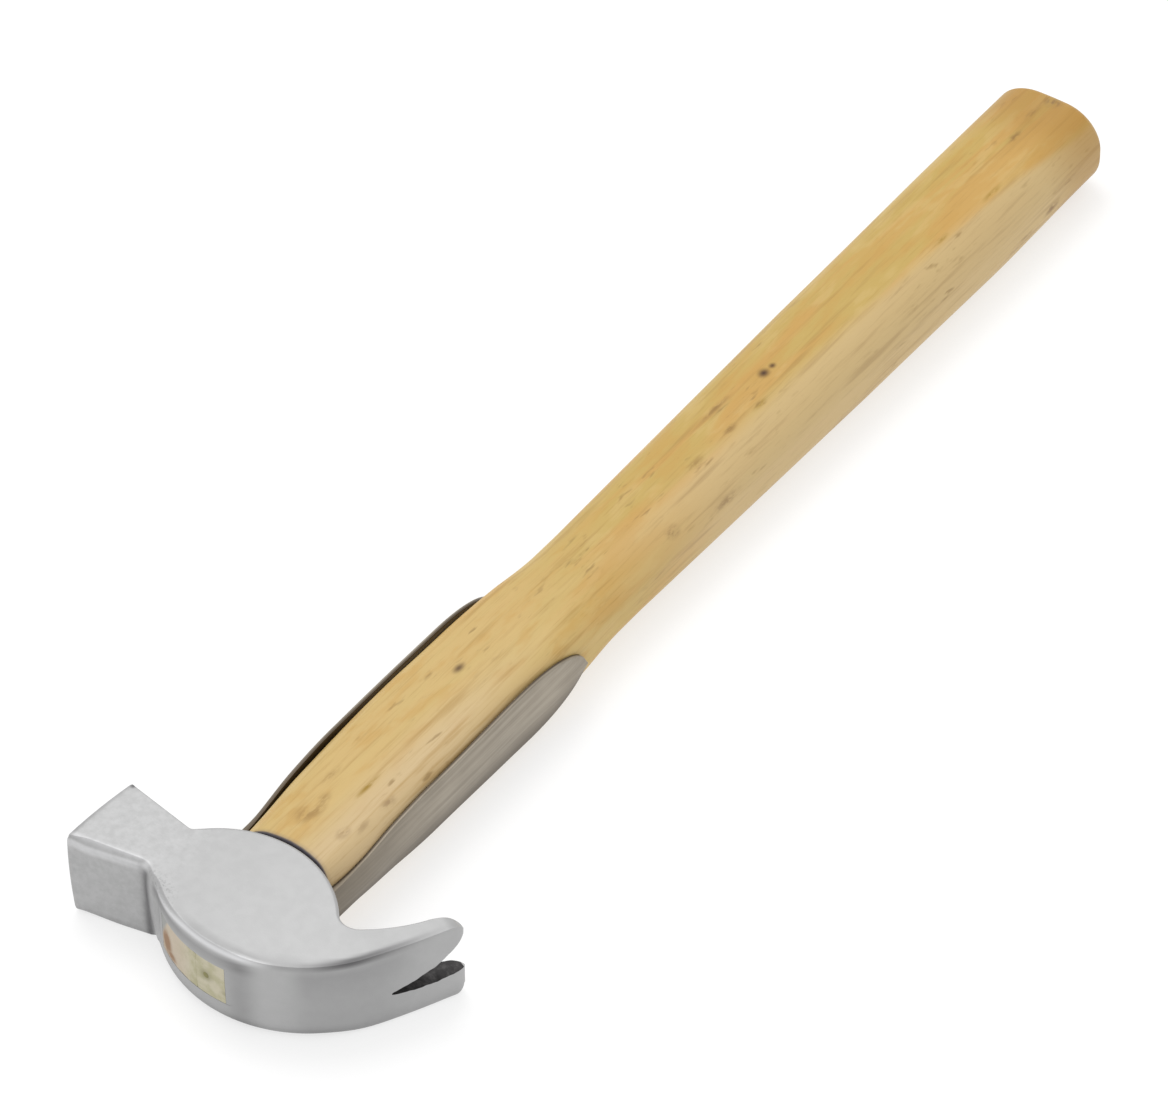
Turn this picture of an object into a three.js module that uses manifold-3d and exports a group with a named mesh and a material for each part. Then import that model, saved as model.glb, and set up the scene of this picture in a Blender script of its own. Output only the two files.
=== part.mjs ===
// Farrier's driving hammer: forged head with a pair of claws, wooden handle, two steel side straps.
//
// Frame: X runs from the striking face to the claws, Y from the crown of the head to the butt of
// the handle, Z is up. The hammer lies on one cheek. The origin is on that cheek, below the point
// where the axis of the head crosses the axis of the handle. All lengths are millimetres.
import * as THREE from "three";
import { mergeVertices } from "three/addons/utils/BufferGeometryUtils.js";
import Module from "manifold-3d";

// Head: overall block and neck
const HEAD_THICKNESS = 23.6; // from cheek to cheek
const FACE_HEIGHT = 22.5; // striking face, along Y
const FACE_REACH = 41.3; // from the handle's axis to the middle of the striking face
const FACE_RAKE = 1.7; // the face stands out this much more on the crown's side
const FACE_CROWN_RADIUS = 140; // slight dome of the striking face
const FACE_CHAMFER = 1.2;
const BLOCK_EDGE = 0.7; // small chamfer along the block
const WORN_EDGE = 1.9; // the wider one, on the upper cheek towards the crown
const NECK_REACH = 20; // from the handle's axis to the neck
const NECK_HEIGHT = 15.2; // along Y, where the block has tapered down
const NECK_FILLET = 1.6;
const CHEEK_EDGE = 1.4; // rounding of the round body and the claws at the upper cheek
const GROUND_EDGE = 1.9; // the same at the lower cheek

// Head: round body around the eye
const BELLY_RADIUS = 29; // side towards the handle
const BELLY_REACH = 16.9;
const BELLY_OFFSET = 2; // centre of the arc, from the handle's axis towards the claws
const CROWN_RADIUS = 36.3; // side away from the handle
const CROWN_REACH = 18.9;
const CROWN_OFFSET = 7.6;

// Claws
const CLAW_BREAK_ANGLE = THREE.MathUtils.degToRad(-30); // where the claw leaves the crown's arc
const CLAW_OUTER_RADIUS = 200;
const CLAW_OUTER_LENGTH = 20.7; // along the outer curve, from the break to the nose
const CLAW_ROOT_THICKNESS = 10;
const CLAW_TIP_THICKNESS = 4;
const CLAW_INNER_RADIUS = 40;
const CLAW_ROOT_FILLET = 5;
const CLAW_TIP_WIDTH = 22.4; // across both prongs at the tips, along Z
const CLAW_CORNER_RADIUS = 2.6; // outer corner of each prong's tip
const SLOT_LENGTH = 18.2; // nail slot, from its apex to the tips
const SLOT_MOUTH = 8.6; // width at the tips
const SLOT_MOUTH_OFFSET = 1.1; // middle of the mouth, above the middle of the head
const SLOT_APEX_WIDTH = 0.8;
const SLOT_APEX_OFFSET = -2.5;
const SLOT_FLARE = 3; // rounding of the slot's mouth

// Eye: the tapered hole that takes the handle and the ends of the straps
const EYE_LENGTH_CROWN = 26.6;
const EYE_LENGTH_BELLY = 30.2;
const EYE_WIDTH = 11.5; // along Z
const EYE_OFFSET_CROWN = -1; // centre of the eye, from the handle's axis
const EYE_OFFSET_BELLY = 0.8;
const EYE_CORNER = 1.2;
const EYE_CLEARANCE = 0.25; // between the eye's wall and what is driven into it

// Side straps
const STRAP_THICKNESS = 1.9; // along its middle
const STRAP_RIM = 1; // thickness along its edges, where its outer face is crowned
const STRAP_SPACING = 27.2; // between both straps, beside the handle
const STRAP_OFFSET = 0.45; // middle between them, from the handle's axis
const STRAP_GAP = 0.25; // between a strap and the wood
const STRAP_END_WIDTH = 9.5; // inside the eye
const STRAP_ROOT_WIDTH = 15; // where it has left the head
const STRAP_TONGUE_WIDTH = 16.6; // widest, before the tongue
const STRAP_TIP_Y = 117; // tip of the tongue on the face's side
const STRAP_STAGGER = 2.4; // the strap on the claws' side ends this much sooner
const STRAP_TONGUE_LENGTH = 22;
const STRAP_FLARE_LENGTH = 38; // over which it widens after leaving the head
const STRAP_BEND_START = 12; // where it leaves the eye
const STRAP_BEND_LENGTH = 28; // over which it steps out to the side of the handle
const STRAP_TIP_LIFT = 0.5; // the tip stands off the wood by this much more

// Handle
const HANDLE_END_Y = 342; // butt end
const GRIP_THICKNESS = 20; // along Z, between the straps
const SHOULDER_GAP = 2; // between the head and the shoulder, which follows it
const WAIST_Y = 140;
const WAIST_WIDTH = 26.6;
const WAIST_THICKNESS = 18.8;
const SWELL_Y = 330; // widest and thickest, where the handle also touches the ground
const SWELL_WIDTH = 31.2;
const BUTT_ROUND = 4.8;

// Wedge and pin in the end of the tenon
const WEDGE_OFFSET = 0.6; // from the handle's axis
const WEDGE_TOP = 2.4; // thickness at the crown
const WEDGE_TOE = 0.9; // thickness at its thin end
const WEDGE_LENGTH = 20;
const WEDGE_CLEARANCE = 0.2;
const PIN_OFFSET = 4.9; // from the handle's axis
const PIN_RISE = 0.6; // above the middle of the head
const PIN_DIAMETER = 1.6;
const PIN_LENGTH = 16;
const PIN_CLEARANCE = 0.2;

// Fineness of the facets
const ARC_STEPS = 11;
const FILLET_STEPS = 4;
const HANDLE_STEPS = 60;
const STRAP_STEPS = 40;
const STRAP_CROWN_STEPS = 6;
const CUT_REACH = 60; // how far a cutting solid runs past what it cuts
const FLUSH = 0.01; // the block's end dives this far below the cheeks of the round body

const wasm = await Module();
wasm.setup();

function solidOf(geometry) {
  const bare = geometry.clone();
  bare.deleteAttribute("normal");
  bare.deleteAttribute("uv");
  const merged = mergeVertices(bare, 1e-5);
  return new wasm.Manifold(
    new wasm.Mesh({
      numProp: 3,
      vertProperties: Float32Array.from(merged.attributes.position.array),
      triVerts: Uint32Array.from(merged.index.array),
    })
  );
}

function geometryOf(solid) {
  const mesh = solid.getMesh();
  const geometry = new THREE.BufferGeometry();
  const positions = new Float32Array(mesh.numVert * 3);
  for (let vertex = 0; vertex < mesh.numVert; vertex += 1) {
    for (let axis = 0; axis < 3; axis += 1) {
      positions[vertex * 3 + axis] = mesh.vertProperties[vertex * mesh.numProp + axis];
    }
  }
  geometry.setAttribute("position", new THREE.BufferAttribute(positions, 3));
  geometry.setIndex(new THREE.BufferAttribute(Uint32Array.from(mesh.triVerts), 1));
  geometry.computeVertexNormals();
  return geometry;
}

// A closed solid through rings of points that all have the same count and turn the same way.
function loft(rings) {
  const count = rings[0].length;
  const positions = rings.flat().flatMap((point) => [point.x, point.y, point.z]);
  const index = [];
  for (let ring = 0; ring + 1 < rings.length; ring += 1) {
    for (let side = 0; side < count; side += 1) {
      const a = ring * count + side;
      const b = ring * count + ((side + 1) % count);
      index.push(a, b, b + count, a, b + count, a + count);
    }
  }
  const last = (rings.length - 1) * count;
  for (let side = 1; side + 1 < count; side += 1) {
    index.push(0, side + 1, side);
    index.push(last, last + side, last + side + 1);
  }
  const geometry = new THREE.BufferGeometry();
  geometry.setAttribute("position", new THREE.BufferAttribute(new Float32Array(positions), 3));
  geometry.setIndex(index);
  return geometry;
}

// An extrusion centred on Z = 0.
function plate(shape, thickness, options = {}) {
  const geometry = new THREE.ExtrudeGeometry(shape, {
    depth: thickness,
    bevelEnabled: false,
    curveSegments: ARC_STEPS,
    ...options,
  });
  geometry.translate(0, 0, -thickness / 2);
  return geometry;
}

const angleTo = (from, to) => Math.atan2(to.y - from.y, to.x - from.x);
const polar = (centre, radius, angle) =>
  new THREE.Vector2(centre.x + radius * Math.cos(angle), centre.y + radius * Math.sin(angle));
const smooth = (value, start, end) => THREE.MathUtils.smoothstep(value, start, end);
const mix = THREE.MathUtils.lerp;

// Head

// Where the striking face meets the block's side; sign is +1 on the handle's side, -1 on the crown's.
const faceCorner = (sign) =>
  new THREE.Vector2(-FACE_REACH + (sign * FACE_RAKE) / 2, (sign * FACE_HEIGHT) / 2);
const neckCorner = (sign) => new THREE.Vector2(-NECK_REACH, (sign * NECK_HEIGHT) / 2);

const crownCentre = new THREE.Vector2(CROWN_OFFSET, CROWN_RADIUS - CROWN_REACH);
const bellyCentre = new THREE.Vector2(BELLY_OFFSET, BELLY_REACH - BELLY_RADIUS);

// Where two circles meet, on the left of the way from the first centre to the second.
function circlesMeet(first, firstRadius, second, secondRadius) {
  const way = second.clone().sub(first);
  const distance = way.length();
  const along = (firstRadius ** 2 - secondRadius ** 2 + distance ** 2) / (2 * distance);
  const aside = Math.sqrt(firstRadius ** 2 - along ** 2);
  way.normalize();
  return first
    .clone()
    .addScaledVector(way, along)
    .addScaledVector(new THREE.Vector2(-way.y, way.x), aside);
}

// The fillet in the corner between the block's tapered side and the round body.
function neckFillet(sign, centre, radius) {
  const face = faceCorner(sign);
  const run = neckCorner(sign).sub(face).normalize();
  const out = new THREE.Vector2(-run.y, run.x).multiplyScalar(sign);
  const start = face.clone().addScaledVector(out, NECK_FILLET);
  const toStart = start.clone().sub(centre);
  const half = toStart.dot(run);
  const reach = radius + NECK_FILLET;
  const travel = -half - Math.sqrt(half ** 2 - toStart.lengthSq() + reach ** 2);
  const middle = start.clone().addScaledVector(run, travel);
  const towardsBody = centre.clone().sub(middle).normalize();
  return {
    middle,
    startX: middle.x - NECK_FILLET * out.x,
    endX: middle.x + NECK_FILLET * towardsBody.x,
  };
}

// The block's side at a given X: its taper, and then the fillet that runs into the round body.
function blockSide(sign, x, fillet) {
  const face = faceCorner(sign);
  const neck = neckCorner(sign);
  if (x <= fillet.startX) {
    return mix(face.y, neck.y, (x - face.x) / (neck.x - face.x));
  }
  const along = Math.min(x, fillet.endX) - fillet.middle.x;
  return fillet.middle.y - sign * Math.sqrt(NECK_FILLET ** 2 - along ** 2);
}

// The block, from the striking face into the round body, as a loft of sections across X.
function blockSolid() {
  const crownNeck = neckFillet(-1, crownCentre, CROWN_RADIUS);
  const bellyNeck = neckFillet(1, bellyCentre, BELLY_RADIUS);
  const slope = FACE_RAKE / FACE_HEIGHT;
  const drop = FACE_HEIGHT ** 2 / (8 * FACE_CROWN_RADIUS);
  const section = (x, rake, inset, sink) => {
    const crown = blockSide(-1, x, crownNeck) + inset;
    const belly = blockSide(1, x, bellyNeck) - inset;
    const half = HEAD_THICKNESS / 2 - inset - sink;
    const corners = [
      [belly, -half + BLOCK_EDGE],
      [belly, half - BLOCK_EDGE],
      [belly - BLOCK_EDGE, half],
      [crown + WORN_EDGE, half],
      [crown, half - WORN_EDGE],
      [crown, -half + BLOCK_EDGE],
      [crown + BLOCK_EDGE, -half],
      [belly - BLOCK_EDGE, -half],
    ];
    return corners.map(([y, z]) => new THREE.Vector3(x + rake * y, y, z));
  };
  const filletStart = Math.min(crownNeck.startX, bellyNeck.startX);
  const filletEnd = Math.max(crownNeck.endX, bellyNeck.endX);
  const rings = [
    section(-FACE_REACH, slope, FACE_CHAMFER, 0),
    section(-FACE_REACH + FACE_CHAMFER + drop, slope, 0, 0),
  ];
  for (let step = 0; step <= FILLET_STEPS; step += 1) {
    rings.push(section(mix(filletStart, filletEnd, step / FILLET_STEPS), 0, 0, 0));
  }
  rings.push(section(filletEnd + CHEEK_EDGE, 0, 0, FLUSH));
  rings.push(section(filletEnd + 2 * CHEEK_EDGE, 0, 0, FLUSH));
  const rake = Math.atan(slope);
  const dome = new THREE.SphereGeometry(FACE_CROWN_RADIUS, 120, 80);
  dome.translate(
    FACE_CROWN_RADIUS * Math.cos(rake) - FACE_REACH,
    -FACE_CROWN_RADIUS * Math.sin(rake),
    0
  );
  return solidOf(loft(rings)).intersect(solidOf(dome));
}

// The curves of the claw: outer sweep, tip and inner sweep.
function clawCurves() {
  const breakOut = new THREE.Vector2(Math.cos(CLAW_BREAK_ANGLE), Math.sin(CLAW_BREAK_ANGLE));
  const outerStart = crownCentre.clone().addScaledVector(breakOut, CROWN_RADIUS);
  const outerCentre = outerStart.clone().addScaledVector(breakOut, -CLAW_OUTER_RADIUS);
  const tipAngle = CLAW_BREAK_ANGLE + CLAW_OUTER_LENGTH / CLAW_OUTER_RADIUS;
  const tipOut = new THREE.Vector2(Math.cos(tipAngle), Math.sin(tipAngle));
  const outerTip = polar(outerCentre, CLAW_OUTER_RADIUS, tipAngle);
  const innerTip = outerTip.clone().addScaledVector(tipOut, -CLAW_TIP_THICKNESS);
  const innerRoot = outerStart.clone().addScaledVector(breakOut, -CLAW_ROOT_THICKNESS);
  const innerCentre = circlesMeet(innerRoot, CLAW_INNER_RADIUS, innerTip, CLAW_INNER_RADIUS);
  return { outerStart, outerCentre, tipAngle, tipOut, outerTip, innerTip, innerCentre };
}

// Outline of the round body with its claws. Its corner towards the face lies inside the block.
function bodyShape() {
  const claw = clawCurves();
  const corner = circlesMeet(bellyCentre, BELLY_RADIUS, crownCentre, CROWN_RADIUS);
  const nose = claw.outerTip.clone().add(claw.innerTip).multiplyScalar(0.5);
  const root = circlesMeet(
    claw.innerCentre,
    CLAW_INNER_RADIUS - CLAW_ROOT_FILLET,
    bellyCentre,
    BELLY_RADIUS + CLAW_ROOT_FILLET
  );
  const innerTipAngle = angleTo(claw.innerCentre, claw.innerTip);
  const innerRootAngle = angleTo(claw.innerCentre, root);
  const bellyRootAngle = angleTo(bellyCentre, root);
  const shape = new THREE.Shape();
  const arc = (centre, radius, from, to, clockwise) =>
    shape.absarc(centre.x, centre.y, radius, from, to, clockwise);
  arc(crownCentre, CROWN_RADIUS, angleTo(crownCentre, corner), CLAW_BREAK_ANGLE, false);
  arc(claw.outerCentre, CLAW_OUTER_RADIUS, CLAW_BREAK_ANGLE, claw.tipAngle, false);
  arc(nose, CLAW_TIP_THICKNESS / 2, claw.tipAngle, claw.tipAngle + Math.PI, false);
  arc(claw.innerCentre, CLAW_INNER_RADIUS, innerTipAngle, innerRootAngle, true);
  arc(root, CLAW_ROOT_FILLET, innerRootAngle, bellyRootAngle - Math.PI, true);
  arc(bellyCentre, BELLY_RADIUS, bellyRootAngle, angleTo(bellyCentre, corner), false);
  return shape;
}

// A rectangle with rounded corners as points in X and Z at one Y, turning from X towards Z.
function roundedRing(y, centreX, halfX, halfZ, corner, steps = 3) {
  const points = [];
  for (let quarter = 0; quarter < 4; quarter += 1) {
    const signX = quarter === 0 || quarter === 3 ? 1 : -1;
    const signZ = quarter < 2 ? 1 : -1;
    for (let step = 0; step <= steps; step += 1) {
      const angle = ((quarter + step / steps) * Math.PI) / 2;
      const x = centreX + signX * (halfX - corner) + corner * Math.cos(angle);
      const z = signZ * (halfZ - corner) + corner * Math.sin(angle);
      points.push(new THREE.Vector3(x, y, z));
    }
  }
  return points.reverse();
}

// Half of the eye's length at a given Y, from the crown's taper to the belly's.
function eyeHalfLength(y) {
  const share = (y + CROWN_REACH) / (CROWN_REACH + BELLY_REACH);
  return mix(EYE_LENGTH_CROWN, EYE_LENGTH_BELLY, share) / 2;
}

// Centre of the eye at a given Y.
function eyeCentre(y) {
  const share = (y + CROWN_REACH) / (CROWN_REACH + BELLY_REACH);
  return mix(EYE_OFFSET_CROWN, EYE_OFFSET_BELLY, share);
}

function eyeCutter() {
  const ends = [-CROWN_REACH - 3, BELLY_REACH + 3];
  return solidOf(
    loft(ends.map((y) => roundedRing(y, eyeCentre(y), eyeHalfLength(y), EYE_WIDTH / 2, EYE_CORNER)))
  );
}

// A matrix that lays a plate's X along the claw, its Y across the prongs and its Z through them.
function clawFrame() {
  const claw = clawCurves();
  const along = new THREE.Vector3(-claw.tipOut.y, claw.tipOut.x, 0);
  const across = new THREE.Vector3(0, 0, 1);
  const through = new THREE.Vector3().crossVectors(along, across);
  const nose = claw.outerTip.clone().add(claw.innerTip).multiplyScalar(0.5);
  const end = new THREE.Vector3(nose.x, nose.y, 0).addScaledVector(along, CLAW_TIP_THICKNESS / 2);
  return new THREE.Matrix4().makeBasis(along, across, through).setPosition(end);
}

// The nail slot, in the claw's frame: X = 0 at the tips, its apex at X = -SLOT_LENGTH.
function slotShape() {
  const apex = SLOT_APEX_WIDTH / 2;
  const edgeAt = (side, share) =>
    mix(SLOT_APEX_OFFSET + side * apex, SLOT_MOUTH_OFFSET + (side * SLOT_MOUTH) / 2, share);
  const flareShare = 1 - SLOT_FLARE / SLOT_LENGTH;
  const lower = edgeAt(-1, 1);
  const upper = edgeAt(1, 1);
  const shape = new THREE.Shape();
  shape.absarc(-SLOT_LENGTH, SLOT_APEX_OFFSET, apex, Math.PI / 2, (3 * Math.PI) / 2, false);
  shape.lineTo(-SLOT_FLARE, edgeAt(-1, flareShare));
  shape.quadraticCurveTo(0, lower, 0, lower - SLOT_FLARE);
  shape.lineTo(SLOT_FLARE, lower - SLOT_FLARE);
  shape.lineTo(SLOT_FLARE, upper + SLOT_FLARE);
  shape.lineTo(0, upper + SLOT_FLARE);
  shape.quadraticCurveTo(0, upper, -SLOT_FLARE, edgeAt(1, flareShare));
  return shape;
}

// What the claws keep, seen through them: they narrow to the tips, whose corners are round.
function clawPlan() {
  const half = HEAD_THICKNESS / 2 + 1;
  const tip = CLAW_TIP_WIDTH / 2;
  const start = -CLAW_OUTER_LENGTH - CLAW_TIP_THICKNESS / 2;
  const shape = new THREE.Shape();
  shape.moveTo(-2 * CUT_REACH, -half);
  shape.lineTo(start, -half);
  shape.lineTo(start, -HEAD_THICKNESS / 2);
  shape.lineTo(-CLAW_CORNER_RADIUS, -tip);
  const corner = (z, from) => shape.absarc(-CLAW_CORNER_RADIUS, z, CLAW_CORNER_RADIUS, from, from + Math.PI / 2);
  corner(-tip + CLAW_CORNER_RADIUS, -Math.PI / 2);
  corner(tip - CLAW_CORNER_RADIUS, 0);
  shape.lineTo(start, HEAD_THICKNESS / 2);
  shape.lineTo(start, half);
  shape.lineTo(-2 * CUT_REACH, half);
  return shape;
}

// A cylinder along Z that runs right through the head.
function throughCylinder(centre, radius) {
  const barrel = new THREE.CylinderGeometry(radius, radius, 3 * CUT_REACH, 160);
  barrel.rotateX(Math.PI / 2);
  barrel.translate(centre.x, centre.y, 0);
  return solidOf(barrel);
}

// The round body's outline from far beyond one cheek up to the other, whose edge is rounded.
// side is +1 for the upper cheek and -1 for the lower one.
function cheekSolid(side, edge) {
  const outline = plate(bodyShape(), HEAD_THICKNESS + CUT_REACH - 2 * edge, {
    bevelEnabled: true,
    bevelThickness: edge,
    bevelSize: edge,
    bevelOffset: -edge,
    bevelSegments: 3,
  });
  outline.translate(0, 0, (-side * CUT_REACH) / 2);
  return solidOf(outline);
}

function headSolid() {
  const body = cheekSolid(1, CHEEK_EDGE).intersect(cheekSolid(-1, GROUND_EDGE));
  const frame = clawFrame();
  const slot = solidOf(plate(slotShape(), CUT_REACH / 2).applyMatrix4(frame));
  const plan = solidOf(plate(clawPlan(), 4 * CUT_REACH).applyMatrix4(frame));
  return body.intersect(plan).subtract(slot).add(blockSolid()).subtract(eyeCutter());
}

// Everything that ends in the eye is ground flush with the crown: this is what the grinding takes.
function crownWaste() {
  const block = new THREE.BoxGeometry(2 * CUT_REACH, CUT_REACH, 2 * CUT_REACH);
  block.translate(CROWN_OFFSET, -CUT_REACH / 2 - CROWN_REACH / 3, 0);
  return solidOf(block).subtract(throughCylinder(crownCentre, CROWN_RADIUS));
}

// Straps

// Where a strap's tongue ends; side is -1 towards the face, +1 towards the claws.
const strapTip = (side) => (side > 0 ? STRAP_TIP_Y - STRAP_STAGGER : STRAP_TIP_Y);

// Inner face of a strap at a given Y.
function strapX(side, y) {
  const inEye = eyeCentre(y) + side * (eyeHalfLength(y) - EYE_CLEARANCE - STRAP_THICKNESS);
  const beside = STRAP_OFFSET + (side * STRAP_SPACING) / 2;
  const step = smooth(y, STRAP_BEND_START, STRAP_BEND_START + STRAP_BEND_LENGTH);
  const tip = strapTip(side);
  const lift = STRAP_TIP_LIFT * smooth(y, tip - 1.5 * STRAP_TONGUE_LENGTH, tip);
  return mix(inEye, beside, step) + side * lift;
}

// Half of a strap's width, along Z, at a given Y.
function strapHalfWidth(side, y) {
  const flareStart = BELLY_REACH;
  const flareEnd = flareStart + STRAP_FLARE_LENGTH;
  const tongueStart = strapTip(side) - STRAP_TONGUE_LENGTH;
  const flare = smooth(y, flareStart, flareEnd);
  let width = mix(STRAP_END_WIDTH, STRAP_ROOT_WIDTH, flare);
  width += (STRAP_TONGUE_WIDTH - STRAP_ROOT_WIDTH) * smooth(y, flareEnd, tongueStart);
  const past = THREE.MathUtils.clamp((y - tongueStart) / STRAP_TONGUE_LENGTH, 0, 1);
  return (width / 2) * Math.sqrt(1 - past ** 2);
}

// A strap as a loft of sections: flat inside, crowned outside. The part in the eye is flat.
function strapSolid(side) {
  const start = -CROWN_REACH - 2;
  const rings = [];
  for (let step = 0; step <= STRAP_STEPS; step += 1) {
    const share = Math.sin(((step / STRAP_STEPS) * 0.985 * Math.PI) / 2);
    const y = mix(start, strapTip(side), step === STRAP_STEPS ? 0.9995 : share);
    const halfWidth = strapHalfWidth(side, y);
    const crowned = smooth(y, STRAP_BEND_START, STRAP_BEND_START + STRAP_BEND_LENGTH / 2);
    const rim = mix(STRAP_THICKNESS, STRAP_RIM, crowned);
    const inner = strapX(side, y);
    const outerAt = (across) => inner + side * mix(STRAP_THICKNESS, rim, across ** 2);
    const ring = [new THREE.Vector3(inner, y, -halfWidth)];
    for (let across = -1; across <= 1; across += 2 / STRAP_CROWN_STEPS) {
      ring.push(new THREE.Vector3(outerAt(across), y, across * halfWidth));
    }
    ring.push(new THREE.Vector3(inner, y, halfWidth));
    rings.push(side > 0 ? ring.reverse() : ring);
  }
  return solidOf(loft(rings)).subtract(crownWaste());
}

// Handle

// A section of the handle: flat on top for flatX to each side, then a quarter of an oval down to
// the middle of the narrow side, which may be flat for flatZ up and down.
// fullness below 1 leaves a soft ridge where the flat meets the oval.
function handleRing(y, centreX, halfX, halfZ, flatX, flatZ, fullness) {
  const steps = 6;
  const top = (fullness * Math.PI) / 2;
  const quarter = [];
  for (let step = 0; step <= steps; step += 1) {
    const angle = (step / steps) * top;
    const across = (Math.cos(angle) - Math.cos(top)) / (1 - Math.cos(top));
    const up = Math.sin(angle) / Math.sin(top);
    quarter.push([flatX + (halfX - flatX) * across, flatZ + (halfZ - flatZ) * up]);
  }
  const back = [...quarter].reverse();
  const points = [
    ...quarter.map(([x, z]) => [x, z]),
    ...back.map(([x, z]) => [-x, z]),
    ...quarter.map(([x, z]) => [-x, -z]),
    ...back.map(([x, z]) => [x, -z]),
  ];
  return points.map(([x, z]) => new THREE.Vector3(centreX + x, y, z)).reverse();
}

const gripHalfWidth = STRAP_SPACING / 2 - STRAP_GAP;

// Half sizes of the handle's section at a given Y, from the shoulder to the butt.
function handleHalf(y) {
  const gripEnd = STRAP_TIP_Y - STRAP_TONGUE_LENGTH / 2;
  const toWaist = smooth(y, gripEnd, WAIST_Y);
  const pastWaist = THREE.MathUtils.clamp((y - WAIST_Y) / (SWELL_Y - WAIST_Y), 0, 1);
  const toSwell = Math.sin((pastWaist * Math.PI) / 2);
  const halfX = mix(mix(gripHalfWidth, WAIST_WIDTH / 2, toWaist), SWELL_WIDTH / 2, toSwell);
  const halfZ = mix(mix(GRIP_THICKNESS, WAIST_THICKNESS, toWaist), HEAD_THICKNESS, toSwell) / 2;
  const flatX = mix(mix(0.45, 0.3, toWaist), 0.6, toSwell) * halfX;
  const flatZ = mix(mix(0.2, 0.25, toWaist), 0.12, toSwell) * halfZ;
  const fullness = mix(mix(1, 0.85, toWaist), 0.75, toSwell);
  return { middle: STRAP_OFFSET * (1 - toWaist), halfX, halfZ, flatX, flatZ, fullness };
}

// The tenon in the eye, from the crown to just inside the shaft.
function tenonSolid() {
  const ends = [-CROWN_REACH - 2, BELLY_REACH + 4];
  const halfZ = EYE_WIDTH / 2 - EYE_CLEARANCE;
  const rings = ends.map((y) => {
    const halfX = eyeHalfLength(y) - 2 * EYE_CLEARANCE - STRAP_THICKNESS;
    return handleRing(y, eyeCentre(y), halfX, halfZ, halfX - EYE_CORNER, halfZ - EYE_CORNER, 1);
  });
  return solidOf(loft(rings));
}

// The shaft from inside the head to the butt, before the shoulder is cut. Beside the bend of the
// straps it keeps within them.
function shaftSolid() {
  const rings = [];
  const start = BELLY_REACH / 2;
  const end = HANDLE_END_Y - BUTT_ROUND;
  const strapInner = (side, y) => strapX(side, y) - side * STRAP_GAP;
  for (let step = 0; step <= HANDLE_STEPS; step += 1) {
    const y = mix(start, end, step / HANDLE_STEPS);
    const { middle, halfX, halfZ, flatX, flatZ, fullness } = handleHalf(y);
    const low = Math.max(strapInner(-1, y), middle - halfX);
    const high = Math.min(strapInner(1, y), middle + halfX);
    const scale = (high - low) / 2 / halfX;
    rings.push(handleRing(y, (high + low) / 2, halfX * scale, halfZ, flatX * scale, flatZ, fullness));
  }
  const buttSteps = 5;
  for (let step = 1; step <= buttSteps; step += 1) {
    const angle = ((step / buttSteps) * Math.PI) / 2;
    const inset = BUTT_ROUND * (1 - Math.cos(angle));
    const y = HANDLE_END_Y - BUTT_ROUND * (1 - Math.sin(angle));
    const { halfX, halfZ, flatX, flatZ, fullness } = handleHalf(y);
    const scale = 1 - inset / halfX;
    rings.push(handleRing(y, 0, halfX - inset, halfZ - inset, flatX * scale, flatZ * scale, fullness));
  }
  return solidOf(loft(rings));
}

function handleSolid() {
  return shaftSolid()
    .subtract(throughCylinder(bellyCentre, BELLY_RADIUS + SHOULDER_GAP))
    .add(tenonSolid())
    .subtract(crownWaste())
    .subtract(wedgeSolid(WEDGE_CLEARANCE))
    .subtract(pinSolid(PIN_CLEARANCE));
}

// Wedge in the saw kerf, thick at the crown. grow makes the kerf that it sits in.
function wedgeSolid(grow = 0) {
  const top = -CROWN_REACH - 2;
  const toe = -CROWN_REACH + WEDGE_LENGTH;
  const halfZ = EYE_WIDTH / 2 - EYE_CLEARANCE + grow * 4;
  const topSlope = (WEDGE_TOP - WEDGE_TOE) / WEDGE_LENGTH;
  const halfTop = (WEDGE_TOP + 2 * topSlope) / 2 + grow;
  const halfToe = WEDGE_TOE / 2 + grow;
  const shape = new THREE.Shape();
  shape.moveTo(WEDGE_OFFSET - halfTop, top - grow);
  shape.lineTo(WEDGE_OFFSET + halfTop, top - grow);
  shape.lineTo(WEDGE_OFFSET + halfToe, toe + grow);
  shape.lineTo(WEDGE_OFFSET - halfToe, toe + grow);
  return solidOf(plate(shape, 2 * halfZ)).subtract(crownWaste());
}

// Round steel pin beside the wedge.
function pinSolid(grow = 0) {
  const radius = PIN_DIAMETER / 2 + grow;
  const pin = new THREE.CylinderGeometry(radius, radius, PIN_LENGTH + 2 + grow, 16);
  pin.translate(PIN_OFFSET, -CROWN_REACH - 2 + (PIN_LENGTH + 2 + grow) / 2, PIN_RISE);
  return solidOf(pin).subtract(crownWaste());
}

// Assembly

const steel = { color: 0xb9b9bb, metalness: 0.85, roughness: 0.42 };
const strapSteel = { color: 0x8b857b, metalness: 0.8, roughness: 0.5 };
const ash = { color: 0xcda76a, metalness: 0, roughness: 0.55 };
const wedgeWood = { color: 0xb8ae94, metalness: 0, roughness: 0.7 };
const pinSteel = { color: 0x5d5a48, metalness: 0.7, roughness: 0.6 };

const hammer = new THREE.Group();
hammer.position.z = HEAD_THICKNESS / 2;

function addPiece(name, solid, finish) {
  const mesh = new THREE.Mesh(geometryOf(solid), new THREE.MeshStandardMaterial(finish));
  mesh.name = name;
  hammer.add(mesh);
}

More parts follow.
